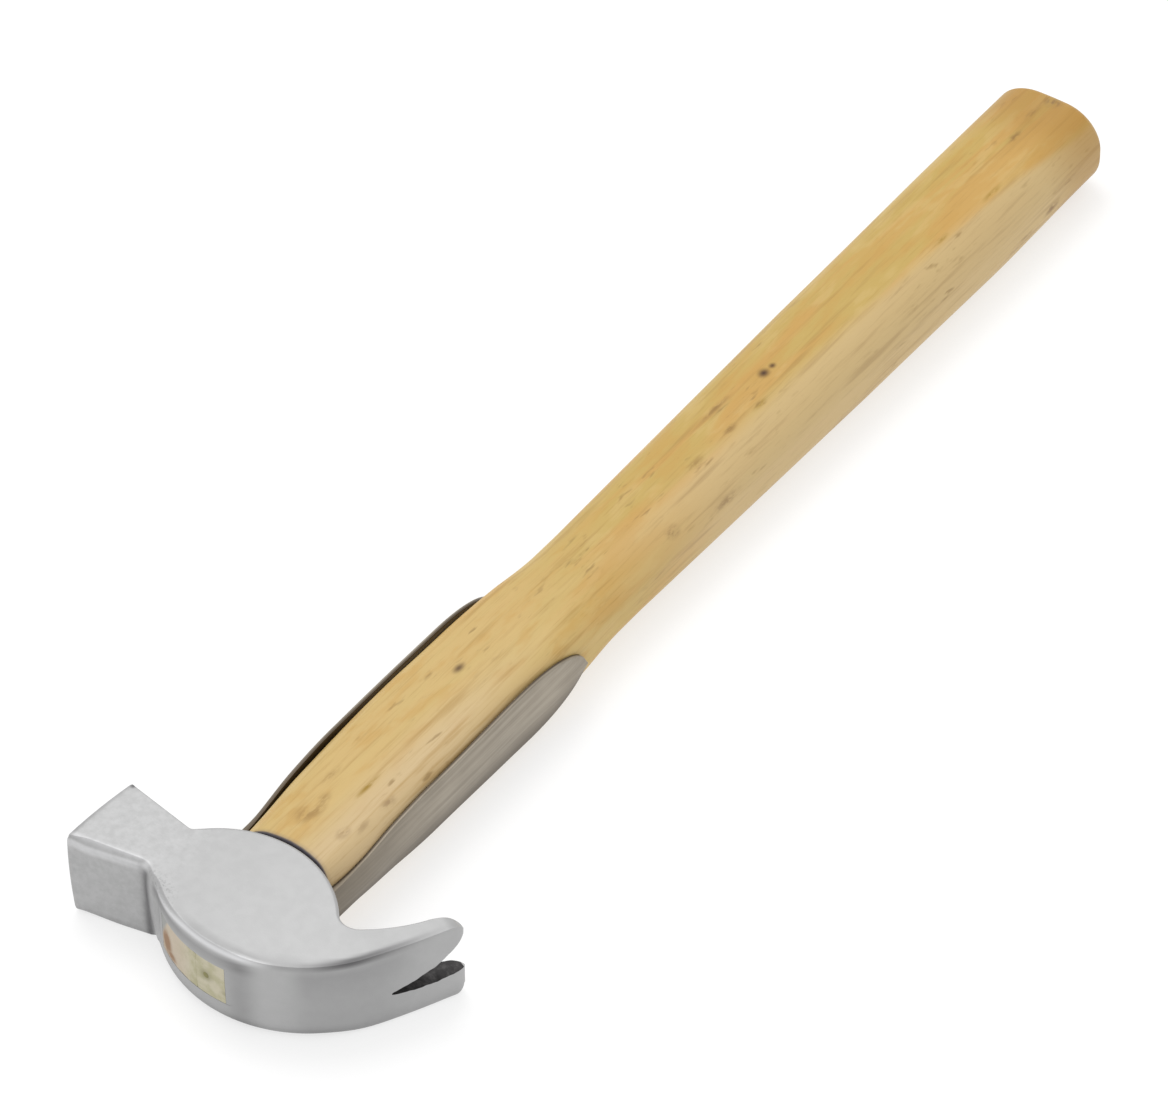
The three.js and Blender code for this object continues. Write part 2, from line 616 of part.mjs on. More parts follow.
addPiece("hammer_head", headSolid(), steel);
addPiece("handle", handleSolid(), ash);
addPiece("face_side_strap", strapSolid(-1), strapSteel);
addPiece("claw_side_strap", strapSolid(1), strapSteel);
addPiece("eye_wedge", wedgeSolid(), wedgeWood);
addPiece("eye_pin", pinSolid(), pinSteel);

const group = new THREE.Group();
group.add(hammer);

export default group;
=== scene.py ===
"""A farrier's driving hammer lying on one cheek: forged head, wooden handle, two side straps.

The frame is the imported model's own: X from the striking face to the claws, Y from the crown of
the head to the butt of the handle, Z up from the lower cheek. Every size below is in millimetres
and becomes metres only when a mesh is laid down.
"""
import logging
import math
from dataclasses import dataclass, field
from enum import Enum
from functools import reduce

import bpy
import bmesh
import numpy as np
from mathutils import Euler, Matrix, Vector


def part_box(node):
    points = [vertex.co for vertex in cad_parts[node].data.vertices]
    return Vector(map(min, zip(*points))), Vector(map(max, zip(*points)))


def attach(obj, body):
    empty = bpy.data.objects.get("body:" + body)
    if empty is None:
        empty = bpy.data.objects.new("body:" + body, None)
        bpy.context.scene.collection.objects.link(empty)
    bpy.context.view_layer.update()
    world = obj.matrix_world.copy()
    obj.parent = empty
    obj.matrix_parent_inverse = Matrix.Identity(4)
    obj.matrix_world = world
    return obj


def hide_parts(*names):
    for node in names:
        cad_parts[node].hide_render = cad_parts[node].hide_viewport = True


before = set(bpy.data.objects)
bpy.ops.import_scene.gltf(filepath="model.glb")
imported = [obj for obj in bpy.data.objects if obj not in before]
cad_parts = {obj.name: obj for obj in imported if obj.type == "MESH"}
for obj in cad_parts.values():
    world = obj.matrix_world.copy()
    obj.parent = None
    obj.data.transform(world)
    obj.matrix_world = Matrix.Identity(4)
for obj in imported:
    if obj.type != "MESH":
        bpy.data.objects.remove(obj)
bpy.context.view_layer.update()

MM = 0.001
BODY = "root"
log = logging.getLogger("driving_hammer")

Array = np.ndarray
Pair = tuple[np.ndarray, np.ndarray]
Mesh = bpy.types.Mesh
Piece = bpy.types.Object
Socket = bpy.types.NodeSocket
Material = bpy.types.Material
Triple = tuple[float, float, float]
Colour = tuple[float, float, float, float]


class Side(Enum):
    """The two narrow sides of the handle, each with its own strap."""

    FACE = -1
    CLAWS = 1


class Cheek(Enum):
    """The two flat sides of the head."""

    LOWER = -1
    UPPER = 1


# Arithmetic shared by the shapes


def smooth(value: Array, start: float, end: float) -> Array:
    """Return the smoothstep of value: 0 up to start, 1 from end on, and 3t^2 - 2t^3 between."""
    share = np.clip((np.asarray(value, dtype=float) - start) / (end - start), 0.0, 1.0)
    return share * share * (3.0 - 2.0 * share)


def bell(value: Array, middle: float, width: float) -> Array:
    """Return 1 at the middle, falling off over the width: exp(-((value - middle) / width)^2)."""
    return np.exp(-(((value - middle) / width) ** 2))


def mix(first: Array, second: Array, share: Array) -> Array:
    """Return first + (second - first) * share."""
    return first + (second - first) * share


def arc(centre: Array, radius: float, start: float, end: float, count: int) -> Array:
    """Return points on an arc: centre + radius * (cos a, sin a) for a from start to end.

    Args:
        centre: the arc's centre in X and Y.
        radius: its radius.
        start: its first angle in radians.
        end: its last angle.
        count: how many points, both ends included.

    Returns:
        An array of count rows of X and Y.
    """
    angles = np.linspace(start, end, count)
    return centre + radius * np.stack([np.cos(angles), np.sin(angles)], axis=1)


def line(start: Array, end: Array, count: int) -> Array:
    """Return count points, both ends included, on the straight line from start to end."""
    return mix(start, end, np.linspace(0.0, 1.0, count)[:, None])


def angle_to(start: Array, end: Array) -> float:
    """Return the direction from start to end as an angle in radians."""
    return math.atan2(end[1] - start[1], end[0] - start[0])


def circles_meet(first: Array, first_radius: float, second: Array, second_radius: float) -> Array:
    """Return where two circles meet, on the left of the way from the first centre to the second.

    Args:
        first: centre of the first circle.
        first_radius: its radius.
        second: centre of the second circle.
        second_radius: its radius.

    Returns:
        The meeting point's X and Y.
    """
    way = second - first
    distance = float(np.hypot(*way))
    along = (first_radius**2 - second_radius**2 + distance**2) / (2.0 * distance)
    aside = math.sqrt(first_radius**2 - along**2)
    way = way / distance
    return first + way * along + np.array([-way[1], way[0]]) * aside


def evened(points: Array, count: int) -> Array:
    """Return count points at equal steps of length along the chain of points.

    Args:
        points: the chain, one row for each point.
        count: how many points, both ends included.

    Returns:
        An array of count rows.
    """
    steps = np.hypot(*np.diff(points, axis=0).T)
    travelled = np.concatenate([[0.0], np.cumsum(steps)])
    wanted = np.linspace(0.0, travelled[-1], count)
    return np.stack([np.interp(wanted, travelled, column) for column in points.T], axis=1)


def side_normals(points: Array) -> Array:
    """Return unit normals on the right of the way along a chain of points, by central steps.

    Args:
        points: the chain, as rows of X and Y.

    Returns:
        One unit vector for each point.
    """
    tangent = np.gradient(points, axis=0)
    tangent /= np.maximum(np.hypot(*tangent.T), 1e-9)[:, None]
    return np.stack([tangent[:, 1], -tangent[:, 0]], axis=1)


def ring_template(arc_steps: int, flat_steps: int) -> Array:
    """Return a rounded rectangle as rows of sign x, sign z, cos and sin.

    A point of the ring is (sign * (half size - corner) + corner * cos or sin). The four corners
    are quarter circles, and the points of a flat mix its two ends, so a ring is linear in the
    template. A flat's first and last inner points keep close to the corners.

    Args:
        arc_steps: steps in each corner.
        flat_steps: inner points on each flat.

    Returns:
        An array of rows, turning from X towards Z.
    """
    turns = np.linspace(0.0, 1.0, arc_steps + 1)
    signs = np.array([[1, 1], [-1, 1], [-1, -1], [1, -1]], dtype=float)
    corners = [
        np.column_stack([
            np.full(arc_steps + 1, signs[quarter, 0]),
            np.full(arc_steps + 1, signs[quarter, 1]),
            np.cos((quarter + turns) * math.pi / 2.0),
            np.sin((quarter + turns) * math.pi / 2.0),
        ])
        for quarter in range(4)
    ]
    inner = np.sin(np.linspace(-0.42, 0.42, flat_steps) * math.pi) / 2.0 + 0.5
    rows = []
    for quarter in range(4):
        following = corners[(quarter + 1) % 4][0]
        rows.append(corners[quarter])
        rows.append(mix(corners[quarter][-1], following, inner[:, None]))
    return np.vstack(rows)


def ring_of(template: Array, half_x: Array, half_z: Array, corner: Array) -> Pair:
    """Return the X and Z of a ring at each station: sign * (half - corner) + corner * (cos, sin).

    Args:
        template: rows made by ring_template.
        half_x: half the ring's size along X at each station.
        half_z: half its size along Z.
        corner: its corner radius.

    Returns:
        X and Z, each of stations by ring points.
    """
    sizes = (half_x, half_z, corner)
    half_x, half_z, corner = (np.asarray(size, dtype=float)[..., None] for size in sizes)
    across = template[:, 0] * (half_x - corner) + corner * template[:, 2]
    upward = template[:, 1] * (half_z - corner) + corner * template[:, 3]
    return across, upward


# Laying meshes down


def lay_grid(name: str, grid: Array, sharp: float = 40.0) -> Piece:
    """Lay a grid of stations and rings down as a closed skin and return its object.

    Station i and ring point j give the vertex; quads join it to the next station and the next
    ring point, the ring closes on itself, and the first and last rings have collapsed on a line
    or a point, whose doubles are merged.

    Args:
        name: the piece's name.
        grid: stations by ring points by X, Y, Z, in millimetres.
        sharp: edges that turn more than this many degrees stay sharp.

    Returns:
        The new object, at the origin.
    """
    stations, around = grid.shape[:2]
    index = np.arange(stations * around).reshape(stations, around)
    turned = np.roll(index, -1, axis=1)
    quads = np.stack([index[:-1], turned[:-1], turned[1:], index[1:]], axis=-1).reshape(-1, 4)
    mesh = bpy.data.meshes.new(name)
    mesh.from_pydata((grid.reshape(-1, 3) * MM).tolist(), [], quads.tolist())
    clean(mesh, sharp)
    piece = bpy.data.objects.new(name, mesh)
    bpy.context.scene.collection.objects.link(piece)
    return piece


def clean(mesh: Mesh, sharp: float) -> None:
    """Merge doubles, drop faces without area, turn the faces outwards and set the smoothing.

    Args:
        mesh: the mesh to clean in place.
        sharp: edges that turn more than this many degrees stay sharp.
    """
    work = bmesh.new()
    work.from_mesh(mesh)
    bmesh.ops.remove_doubles(work, verts=work.verts, dist=2e-3 * MM)
    bmesh.ops.dissolve_degenerate(work, dist=1e-3 * MM, edges=work.edges)
    bmesh.ops.recalc_face_normals(work, faces=work.faces)
    work.to_mesh(mesh)
    work.free()
    mesh.polygons.foreach_set("use_smooth", np.ones(len(mesh.polygons), dtype=bool))
    mesh.set_sharp_from_angle(angle=math.radians(sharp))
    mesh.update()


def cut(piece: Piece, cutters: list[Piece], sharp: float = 40.0) -> None:
    """Take closed cutters out of a closed piece, keep the result as its mesh, drop the cutters.

    Args:
        piece: the piece that is cut.
        cutters: the solids to take out of it.
        sharp: edges that turn more than this many degrees stay sharp.
    """
    for cutter in cutters:
        taking = piece.modifiers.new("cut", "BOOLEAN")
        taking.operation = "DIFFERENCE"
        taking.solver = "EXACT"
        taking.object = cutter
    bpy.context.view_layer.update()
    seen = piece.evaluated_get(bpy.context.evaluated_depsgraph_get())
    mesh = bpy.data.meshes.new_from_object(seen)
    piece.modifiers.clear()
    old = piece.data
    piece.data = mesh
    mesh.name = piece.name
    bpy.data.meshes.remove(old)
    for cutter in cutters:
        bpy.data.meshes.remove(cutter.data)
    clean(mesh, sharp)


def vertex_places(mesh: Mesh) -> Array:
    """Return the mesh's vertices in millimetres, one row each.

    Args:
        mesh: the mesh to read.

    Returns:
        An array of rows of X, Y and Z.
    """
    places = np.empty(len(mesh.vertices) * 3)
    mesh.vertices.foreach_get("co", places)
    return places.reshape(-1, 3) / MM


def set_attributes(mesh: Mesh, named: dict[str, Array]) -> None:
    """Store one number for each vertex under each name that a material reads.

    Args:
        mesh: the mesh to store them on.
        named: the numbers, from 0 to 1, under their names.
    """
    for name, values in named.items():
        layer = mesh.attributes.new(name, "FLOAT", "POINT")
        layer.data.foreach_set("value", np.clip(values, 0.0, 1.0).astype(np.float32))


def give_finishes(mesh: Mesh, finishes: list[Material], which: Array) -> None:
    """Give a mesh its materials, and each face one of them.

    Args:
        mesh: the mesh to dress.
        finishes: its materials.
        which: for each face, the number of its material in that list.
    """
    mesh.materials.clear()
    for finish in finishes:
        mesh.materials.append(finish)
    mesh.polygons.foreach_set("material_index", which)


# Finishes


@dataclass(frozen=True)
class Mark:
    """A mark on a piece: its place, its reach along each axis, how strong it is, and its colour."""

    centre: Triple
    reach: Triple
    strength: float
    tone: Colour


class Bench:
    """A material's node tree, with short calls to add nodes and join them."""

    def __init__(self, name: str) -> None:
        """Start a material with nothing but its shader and its output."""
        self.material = bpy.data.materials.new(name)
        self.material.use_nodes = True
        self.tree = self.material.node_tree
        self.shader = self.tree.nodes["Principled BSDF"]
        self.place = self.tree.nodes.new("ShaderNodeTexCoord").outputs["Object"]

    def node(self, kind: str, **settings: object) -> bpy.types.Node:
        """Add a node of a kind, and set its properties.

        Args:
            kind: the node's type without its ShaderNode prefix.
            settings: properties to set on it.

        Returns:
            The new node.
        """
        made = self.tree.nodes.new(f"ShaderNode{kind}")
        for key, value in settings.items():
            setattr(made, key, value)
        return made

    def join(self, source: Socket, target: Socket) -> None:
        """Join an output to an input."""
        self.tree.links.new(source, target)

    def feed(self, socket: Socket, value: object) -> None:
        """Give a socket either a constant or another node's output.

        Args:
            socket: the input to feed.
            value: a number, a colour or an output socket.
        """
        if isinstance(value, Socket):
            self.join(value, socket)
        else:
            socket.default_value = value

    def stretched(self, scale: Triple) -> Socket:
        """Return the object's coordinates scaled along each axis.

        Args:
            scale: the factors along X, Y and Z.

        Returns:
            The scaled coordinates.
        """
        mapping = self.node("Mapping")
        mapping.inputs["Scale"].default_value = scale
        self.join(self.place, mapping.inputs["Vector"])
        return mapping.outputs["Vector"]

    def noise(
        self,
        scale: float,
        detail: float = 3.0,
        roughness: float = 0.55,
        along: Socket | None = None,
        distortion: float = 0.0,
    ) -> Socket:
        """Return a noise's grey value.

        Args:
            scale: cells to the metre.
            detail: octaves.
            roughness: how strong each next octave is.
            along: coordinates, the object's own where none are given.
            distortion: how far the cells are pulled about.

        Returns:
            The output, around 0.5.
        """
        made = self.node("TexNoise")
        made.inputs["Scale"].default_value = scale
        made.inputs["Detail"].default_value = detail
        made.inputs["Roughness"].default_value = roughness
        made.inputs["Distortion"].default_value = distortion
        self.join(along or self.place, made.inputs["Vector"])
        return made.outputs["Fac"]

    def math(self, operation: str, first: object, second: object = 0.0) -> Socket:
        """Return the result of an arithmetic node on two values.

        Args:
            operation: the node's operation.
            first: a number or an output.
            second: another one.

        Returns:
            The result.
        """
        made = self.node("Math", operation=operation)
        self.feed(made.inputs[0], first)
        self.feed(made.inputs[1], second)
        return made.outputs[0]

    def times(self, first: object, second: object) -> Socket:
        """Return the product of two values."""
        return self.math("MULTIPLY", first, second)

    def largest(self, *values: object) -> Socket:
        """Return the largest of several values."""
        return reduce(lambda first, second: self.math("MAXIMUM", first, second), values)

    def ramp(
        self, value: object, start: float, end: float, low: float = 0.0, high: float = 1.0
    ) -> Socket:
        """Return low where value is at start, high where it is at end, eased between and held past.

        Args:
            value: a number or an output.
            start: where the result is low.
            end: where it is high.
            low: the result at start.
            high: the result at end.

        Returns:
            The eased value.
        """
        made = self.node("MapRange", interpolation_type="SMOOTHSTEP")
        self.feed(made.inputs["Value"], value)
        for key, number in (("From Min", start), ("From Max", end), ("To Min", low), ("To Max", high)):
            made.inputs[key].default_value = number
        return made.outputs["Result"]

    def blend(self, share: object, first: object, second: object) -> Socket:
        """Return two colours mixed by share, as a colour.

        Args:
            share: 0 for the first colour, 1 for the second.
            first: a colour or an output.
            second: another one.

        Returns:
            The mixed colour.
        """
        made = self.node("Mix", data_type="RGBA")
        self.feed(made.inputs["Factor"], share)
        self.feed(made.inputs[6], first)
        self.feed(made.inputs[7], second)
        return made.outputs[2]

    def attribute(self, name: str) -> Socket:
        """Return a number stored on the mesh's vertices."""
        return self.node("Attribute", attribute_name=name).outputs["Fac"]

    def axes(self) -> tuple[Socket, ...]:
        """Return the object's X, Y and Z in metres.

        Returns:
            Three outputs.
        """
        parts = self.node("SeparateXYZ")
        self.join(self.place, parts.inputs[0])
        return tuple(parts.outputs)

    def near(self, centre: Triple, reach: Triple) -> Socket:
        """Return 1 at a point, falling to 0 over a reach along each axis, all in millimetres.

        Args:
            centre: the point.
            reach: how far the value reaches along X, Y and Z.

        Returns:
            The value.
        """
        mapping = self.node("Mapping", vector_type="POINT")
        mapping.inputs["Location"].default_value = tuple(-c / r for c, r in zip(centre, reach))
        mapping.inputs["Scale"].default_value = tuple(1.0 / (r * MM) for r in reach)
        self.join(self.place, mapping.inputs["Vector"])
        length = self.node("VectorMath", operation="LENGTH")
        self.join(mapping.outputs["Vector"], length.inputs[0])
        return self.ramp(length.outputs["Value"], 1.0, 0.0)

    def mark(self, mark: Mark) -> Socket:
        """Return a mark's strength at its place, falling to 0 over its reach."""
        return self.times(self.near(mark.centre, mark.reach), mark.strength)

    def bump(self, height: Socket, depth: float, strength: float = 1.0) -> None:
        """Drive the shader's normal by a height.

        Args:
            height: the output that gives the height.
            depth: its full range in millimetres.
            strength: the bump's strength.
        """
        made = self.node("Bump")
        made.inputs["Strength"].default_value = strength
        made.inputs["Distance"].default_value = depth * MM
        self.join(height, made.inputs["Height"])
        self.join(made.outputs["Normal"], self.shader.inputs["Normal"])

    def set(self, **sockets: object) -> None:
        """Set the shader's inputs by name, underscores standing for spaces."""
        for key, value in sockets.items():
            self.feed(self.shader.inputs[key.replace("_", " ")], value)


def paint(red: int, green: int, blue: int) -> Colour:
    """Return a screen colour of 0 to 255 as the linear colour that a shader takes.

    Args:
        red: the red level.
        green: the green level.
        blue: the blue level.

    Returns:
        The linear colour with full alpha.
    """
    def linear(level: int) -> float:
        """Undo the screen's curve for one channel."""
        share = level / 255.0
        return share / 12.92 if share <= 0.04045 else ((share + 0.055) / 1.055) ** 2.4
    return linear(red), linear(green), linear(blue), 1.0


@dataclass(frozen=True)
class SatinSteel:
    """Tumbled satin steel with faint mottling, darker where shade is painted and at its pits and a knock,
    lighter where highlights are painted.
    """

    name: str = "satin_steel"
    light: Colour = paint(170, 170, 170)
    dull: Colour = paint(162, 162, 162)
    bright: Colour = paint(238, 238, 240)
    # The dark colour of the painted shade, used too for the real pits and the knock.
    shade_and_grime: Colour = paint(58, 56, 58)
    metallic: float = 0.35
    roughness: float = 0.42
    knock: Mark = Mark((-38.7, 10.5, 23.3), (1.2, 1.2, 1.6), 0.9, paint(58, 56, 58))
    mottle_cells: float = 260.0
    cloud_cells: float = 520.0
    dent_cells: float = 700.0
    pit_cells: float = 1300.0
    grit_cells: float = 2200.0

    def material(self) -> Material:
        """Mix the node material: mottled colour, painted shade and painted highlights by the mesh's own
        attributes, darker pits and a knock, grit bump.

        Returns:
            The finished material.
        """
        bench = Bench(self.name)
        mottle = bench.ramp(bench.noise(self.mottle_cells, 4.0, 0.6), 0.3, 0.7)
        across = bench.ramp(bench.axes()[0], -16.0 * MM, 24.0 * MM, 0.0, 0.65)
        share = bench.math("ADD", across, bench.times(mottle, 0.35))
        base = bench.blend(share, self.dull, self.light)
        clouds = bench.ramp(bench.noise(self.cloud_cells, 4.0, 0.7), 0.3, 0.7)
        clouds = bench.times(bench.attribute("uneven"), clouds)
        base = bench.blend(bench.times(clouds, 0.09), base, self.bright)
        # Painted highlights: the worn attribute brightens the painted highlight band and the edge
        # highlights, along with a knocked corner.
        base = bench.blend(bench.attribute("worn"), base, self.bright)
        pits = bench.ramp(bench.noise(self.pit_cells, 2.0), 0.54, 0.64, 0.0, 0.28)
        pits = bench.times(bench.attribute("pitted"), pits)
        # Painted shade from the mesh's attribute, with the real pits and the knock, all darkened with the
        # one colour.
        shade_and_grime = bench.largest(bench.attribute("shade_and_grime"), pits, bench.mark(self.knock))
        base = bench.blend(shade_and_grime, base, self.shade_and_grime)
        grit = bench.noise(self.grit_cells, 3.0, 0.6)
        rough = bench.ramp(mottle, 0.0, 1.0, self.roughness + 0.01, self.roughness - 0.01)
        bench.set(Base_Color=base, Metallic=self.metallic, Roughness=rough)
        dents = bench.times(bench.attribute("battered"), bench.noise(self.dent_cells, 2.0))
        bench.bump(bench.math("ADD", bench.times(grit, 0.25), dents), 0.16, 0.45)
        return bench.material


@dataclass(frozen=True)
class ShadedSlotSteel:
    """The nail slot's walls in painted shade: dark, with lighter scuffs."""

    name: str = "shaded_slot_steel"
    dark: Colour = paint(50, 48, 49)
    scuffed: Colour = paint(78, 76, 76)
    roughness: float = 0.6

    def material(self) -> Material:
        """Mix the node material: dark painted shade with scuffs, slightly rough.

        Returns:
            The finished material.
        """
        bench = Bench(self.name)
        scuffs = bench.noise(600.0, 3.0, 0.6)
        base = bench.blend(bench.ramp(scuffs, 0.45, 0.7), self.dark, self.scuffed)
        bench.set(Base_Color=base, Metallic=0.4, Roughness=self.roughness)
        bench.bump(scuffs, 0.2, 0.6)
        return bench.material


@dataclass(frozen=True)
class StrapSteel:
    """Dark, warm grey mild steel, brushed lengthways, darker where shade is painted by the mesh's own
    attribute.
    """

    name: str = "strap_steel"
    light: Colour = paint(162, 153, 138)
    dark: Colour = paint(140, 131, 117)
    # The colour of the painted shade on the strap.
    deep: Colour = paint(76, 64, 48)
    metallic: float = 0.45
    roughness: float = 0.44

    def material(self) -> Material:
        """Mix the node material: long brushed streaks over broad smudges.

        Returns:
            The finished material.
        """
        bench = Bench(self.name)
        streaks = bench.noise(1.0, 4.0, 0.65, along=bench.stretched((900.0, 28.0, 900.0)))
        smudges = bench.noise(55.0, 3.0, 0.5)
        tone = bench.math("ADD", bench.times(streaks, 0.6), bench.times(smudges, 0.4))
        base = bench.blend(bench.ramp(tone, 0.36, 0.64), self.dark, self.light)
        # Painted shade by the mesh's shade attribute.
        base = bench.blend(bench.attribute("shade"), base, self.deep)
        bench.set(Base_Color=base, Metallic=self.metallic, Roughness=self.roughness)
        bench.bump(streaks, 0.03, 0.5)
        return bench.material


WHITE = paint(255, 255, 255)
KNOT = paint(74, 44, 14)
SMUDGE = paint(146, 112, 56)
OLIVE = paint(152, 120, 36)
GREY_BROWN = paint(130, 100, 64)
RUST = paint(132, 90, 46)
STAIN = paint(116, 112, 72)


@dataclass(frozen=True)
class PaleWood:
    """Pale yellow handle wood under a thin varnish, with grain, flecks and knots, a painted sheen on its
    flanks and painted shade at its shoulder.
    """

    name: str = "pale_wood"
    warm: Colour = paint(187, 158, 86)
    honey: Colour = paint(192, 152, 82)
    pale: Colour = paint(200, 172, 110)
    # Painted sheen: the flanks paler and greyer, as the varnish there reflects the light.
    flank: Colour = paint(197, 171, 122)
    grip: Colour = paint(199, 172, 113)
    handled: Colour = paint(160, 118, 50)
    gold: Colour = paint(188, 146, 72)
    blush: Colour = paint(198, 174, 134)
    streak: Colour = paint(162, 126, 62)
    flank_streak: Colour = paint(162, 133, 88)
    fleck: Colour = paint(132, 102, 52)
    # Painted shade for the shoulder's face, in the gap under the head's edge.
    shoulder_shade: Colour = paint(92, 88, 94)
    roughness: float = 0.5
    marks: tuple[Mark, ...] = (
        Mark((-1.1, 212.0, 22.5), (2.1, 2.6, 6.0), 1.0, KNOT),
        Mark((-0.9, 215.4, 22.6), (1.3, 1.6, 6.0), 0.9, KNOT),
        Mark((-1.4, 86.6, 21.8), (1.6, 3.0, 6.0), 0.85, KNOT),
        Mark((4.6, 42.9, 21.8), (1.1, 6.5, 6.0), 0.95, OLIVE),
        Mark((-1.6, 27.6, 21.8), (3.6, 4.4, 6.0), 0.65, SMUDGE),
        Mark((-0.2, 30.4, 21.8), (2.2, 4.4, 6.0), 0.6, SMUDGE),
        Mark((-1.3, 34.2, 21.8), (2.0, 3.4, 6.0), 0.55, SMUDGE),
        Mark((-4.6, 41.2, 21.8), (1.5, 5.4, 6.0), 0.5, SMUDGE),
        Mark((9.0, 27.9, 21.8), (2.2, 3.4, 6.0), 0.5, GREY_BROWN),
        Mark((11.3, 42.1, 21.0), (1.6, 3.8, 6.0), 0.55, GREY_BROWN),
        Mark((11.3, 32.5, 21.0), (1.5, 4.2, 6.0), 0.4, GREY_BROWN),
        Mark((-3.7, 195.1, 22.3), (1.2, 8.5, 6.0), 0.85, SMUDGE),
        Mark((3.5, 191.0, 22.2), (1.6, 3.4, 6.0), 0.8, SMUDGE),
        Mark((3.4, 176.4, 21.9), (1.8, 5.0, 6.0), 0.6, SMUDGE),
        Mark((4.6, 202.6, 22.4), (1.3, 4.2, 6.0), 0.7, OLIVE),
        Mark((0.8, 321.1, 23.6), (1.4, 4.2, 6.0), 0.95, SMUDGE),
        Mark((1.6, 338.0, 23.0), (3.6, 3.0, 6.0), 0.75, GREY_BROWN),
        Mark((7.4, 277.7, 23.4), (1.3, 4.6, 6.0), 0.7, OLIVE),
        Mark((8.1, 299.7, 23.5), (1.2, 6.0, 6.0), 0.7, OLIVE),
        Mark((-0.8, 331.5, 23.6), (1.2, 7.0, 6.0), 0.6, SMUDGE),
        Mark((15.1, 316.5, 10.4), (6.0, 5.0, 2.0), 0.8, GREY_BROWN),
        Mark((13.2, 155.7, 19.5), (6.0, 3.6, 1.8), 0.8, GREY_BROWN),
        Mark((13.5, 174.6, 16.5), (6.0, 8.0, 1.6), 0.6, GREY_BROWN),
        Mark((15.1, 302.8, 9.0), (6.0, 9.0, 1.6), 0.6, GREY_BROWN),
    )

    def material(self) -> Material:
        """Mix the node material: bands, curls, fibres, flecks and marks, drawn out along Y.

        Returns:
            The finished material.
        """
        bench = Bench(self.name)
        bands = bench.noise(1.0, 2.0, 0.5, along=bench.stretched((150.0, 15.0, 150.0)), distortion=0.8)
        curls = bench.noise(1.0, 3.0, 0.55, along=bench.stretched((230.0, 60.0, 230.0)), distortion=0.15)
        streaks = bench.noise(1.0, 3.0, 0.6, along=bench.stretched((480.0, 24.0, 480.0)))
        fibres = bench.noise(1.0, 3.0, 0.7, along=bench.stretched((1500.0, 60.0, 1500.0)))
        flecks = bench.noise(1.0, 2.0, 0.5, along=bench.stretched((620.0, 140.0, 620.0)))
        patches = bench.noise(1.0, 2.0, 0.5, along=bench.stretched((70.0, 22.0, 70.0)))
        flank, grip = bench.attribute("flank"), bench.attribute("grip")
        base = bench.blend(bench.ramp(bands, 0.4, 0.6), self.warm, self.honey)
        base = bench.blend(bench.times(grip, 0.75), base, self.grip)
        top = bench.math("SUBTRACT", 1.0, flank)
        base = bench.blend(bench.times(bench.ramp(curls, 0.5, 0.66, 0.0, 0.45), top), base, self.gold)
        base = bench.blend(bench.ramp(curls, 0.48, 0.34, 0.0, 0.4), base, self.pale)
        # Painted sheen: the flanks turn paler and greyer.
        base = bench.blend(bench.times(flank, 0.92), base, self.flank)
        base = bench.blend(bench.attribute("blush"), base, self.blush)
        streak = bench.blend(flank, self.streak, self.flank_streak)
        base = bench.blend(bench.ramp(streaks, 0.52, 0.72, 0.0, 0.5), base, streak)
        base = bench.blend(bench.ramp(fibres, 0.5, 0.75, 0.0, 0.35), base, streak)
        dashes = bench.times(bench.ramp(flecks, 0.6, 0.76), bench.ramp(patches, 0.46, 0.62, 0.05, 0.6))
        base = bench.blend(dashes, base, self.fleck)
        base = bench.blend(bench.times(bench.attribute("handled"), 0.55), base, self.handled)
        broken = bench.noise(1.0, 3.0, 0.6, along=bench.stretched((800.0, 260.0, 800.0)))
        ragged = bench.ramp(broken, 0.4, 0.58, 0.25, 1.1)
        for mark in self.marks:
            share = bench.mark(mark)
            share = share if mark.tone is KNOT else bench.times(share, ragged)
            base = bench.blend(share, base, mark.tone)
        # Painted shade on the shoulder's face, in the gap under the head's edge.
        base = bench.blend(bench.attribute("shoulder_shade"), base, self.shoulder_shade)
        bench.set(Base_Color=base, Roughness=self.roughness, Coat_Weight=0.06, Coat_Roughness=0.3)
        bench.set(Specular_IOR_Level=0.3)
        height = bench.math("SUBTRACT", bench.times(fibres, 0.4), dashes)
        bench.bump(height, 0.05, 0.5)
        return bench.material


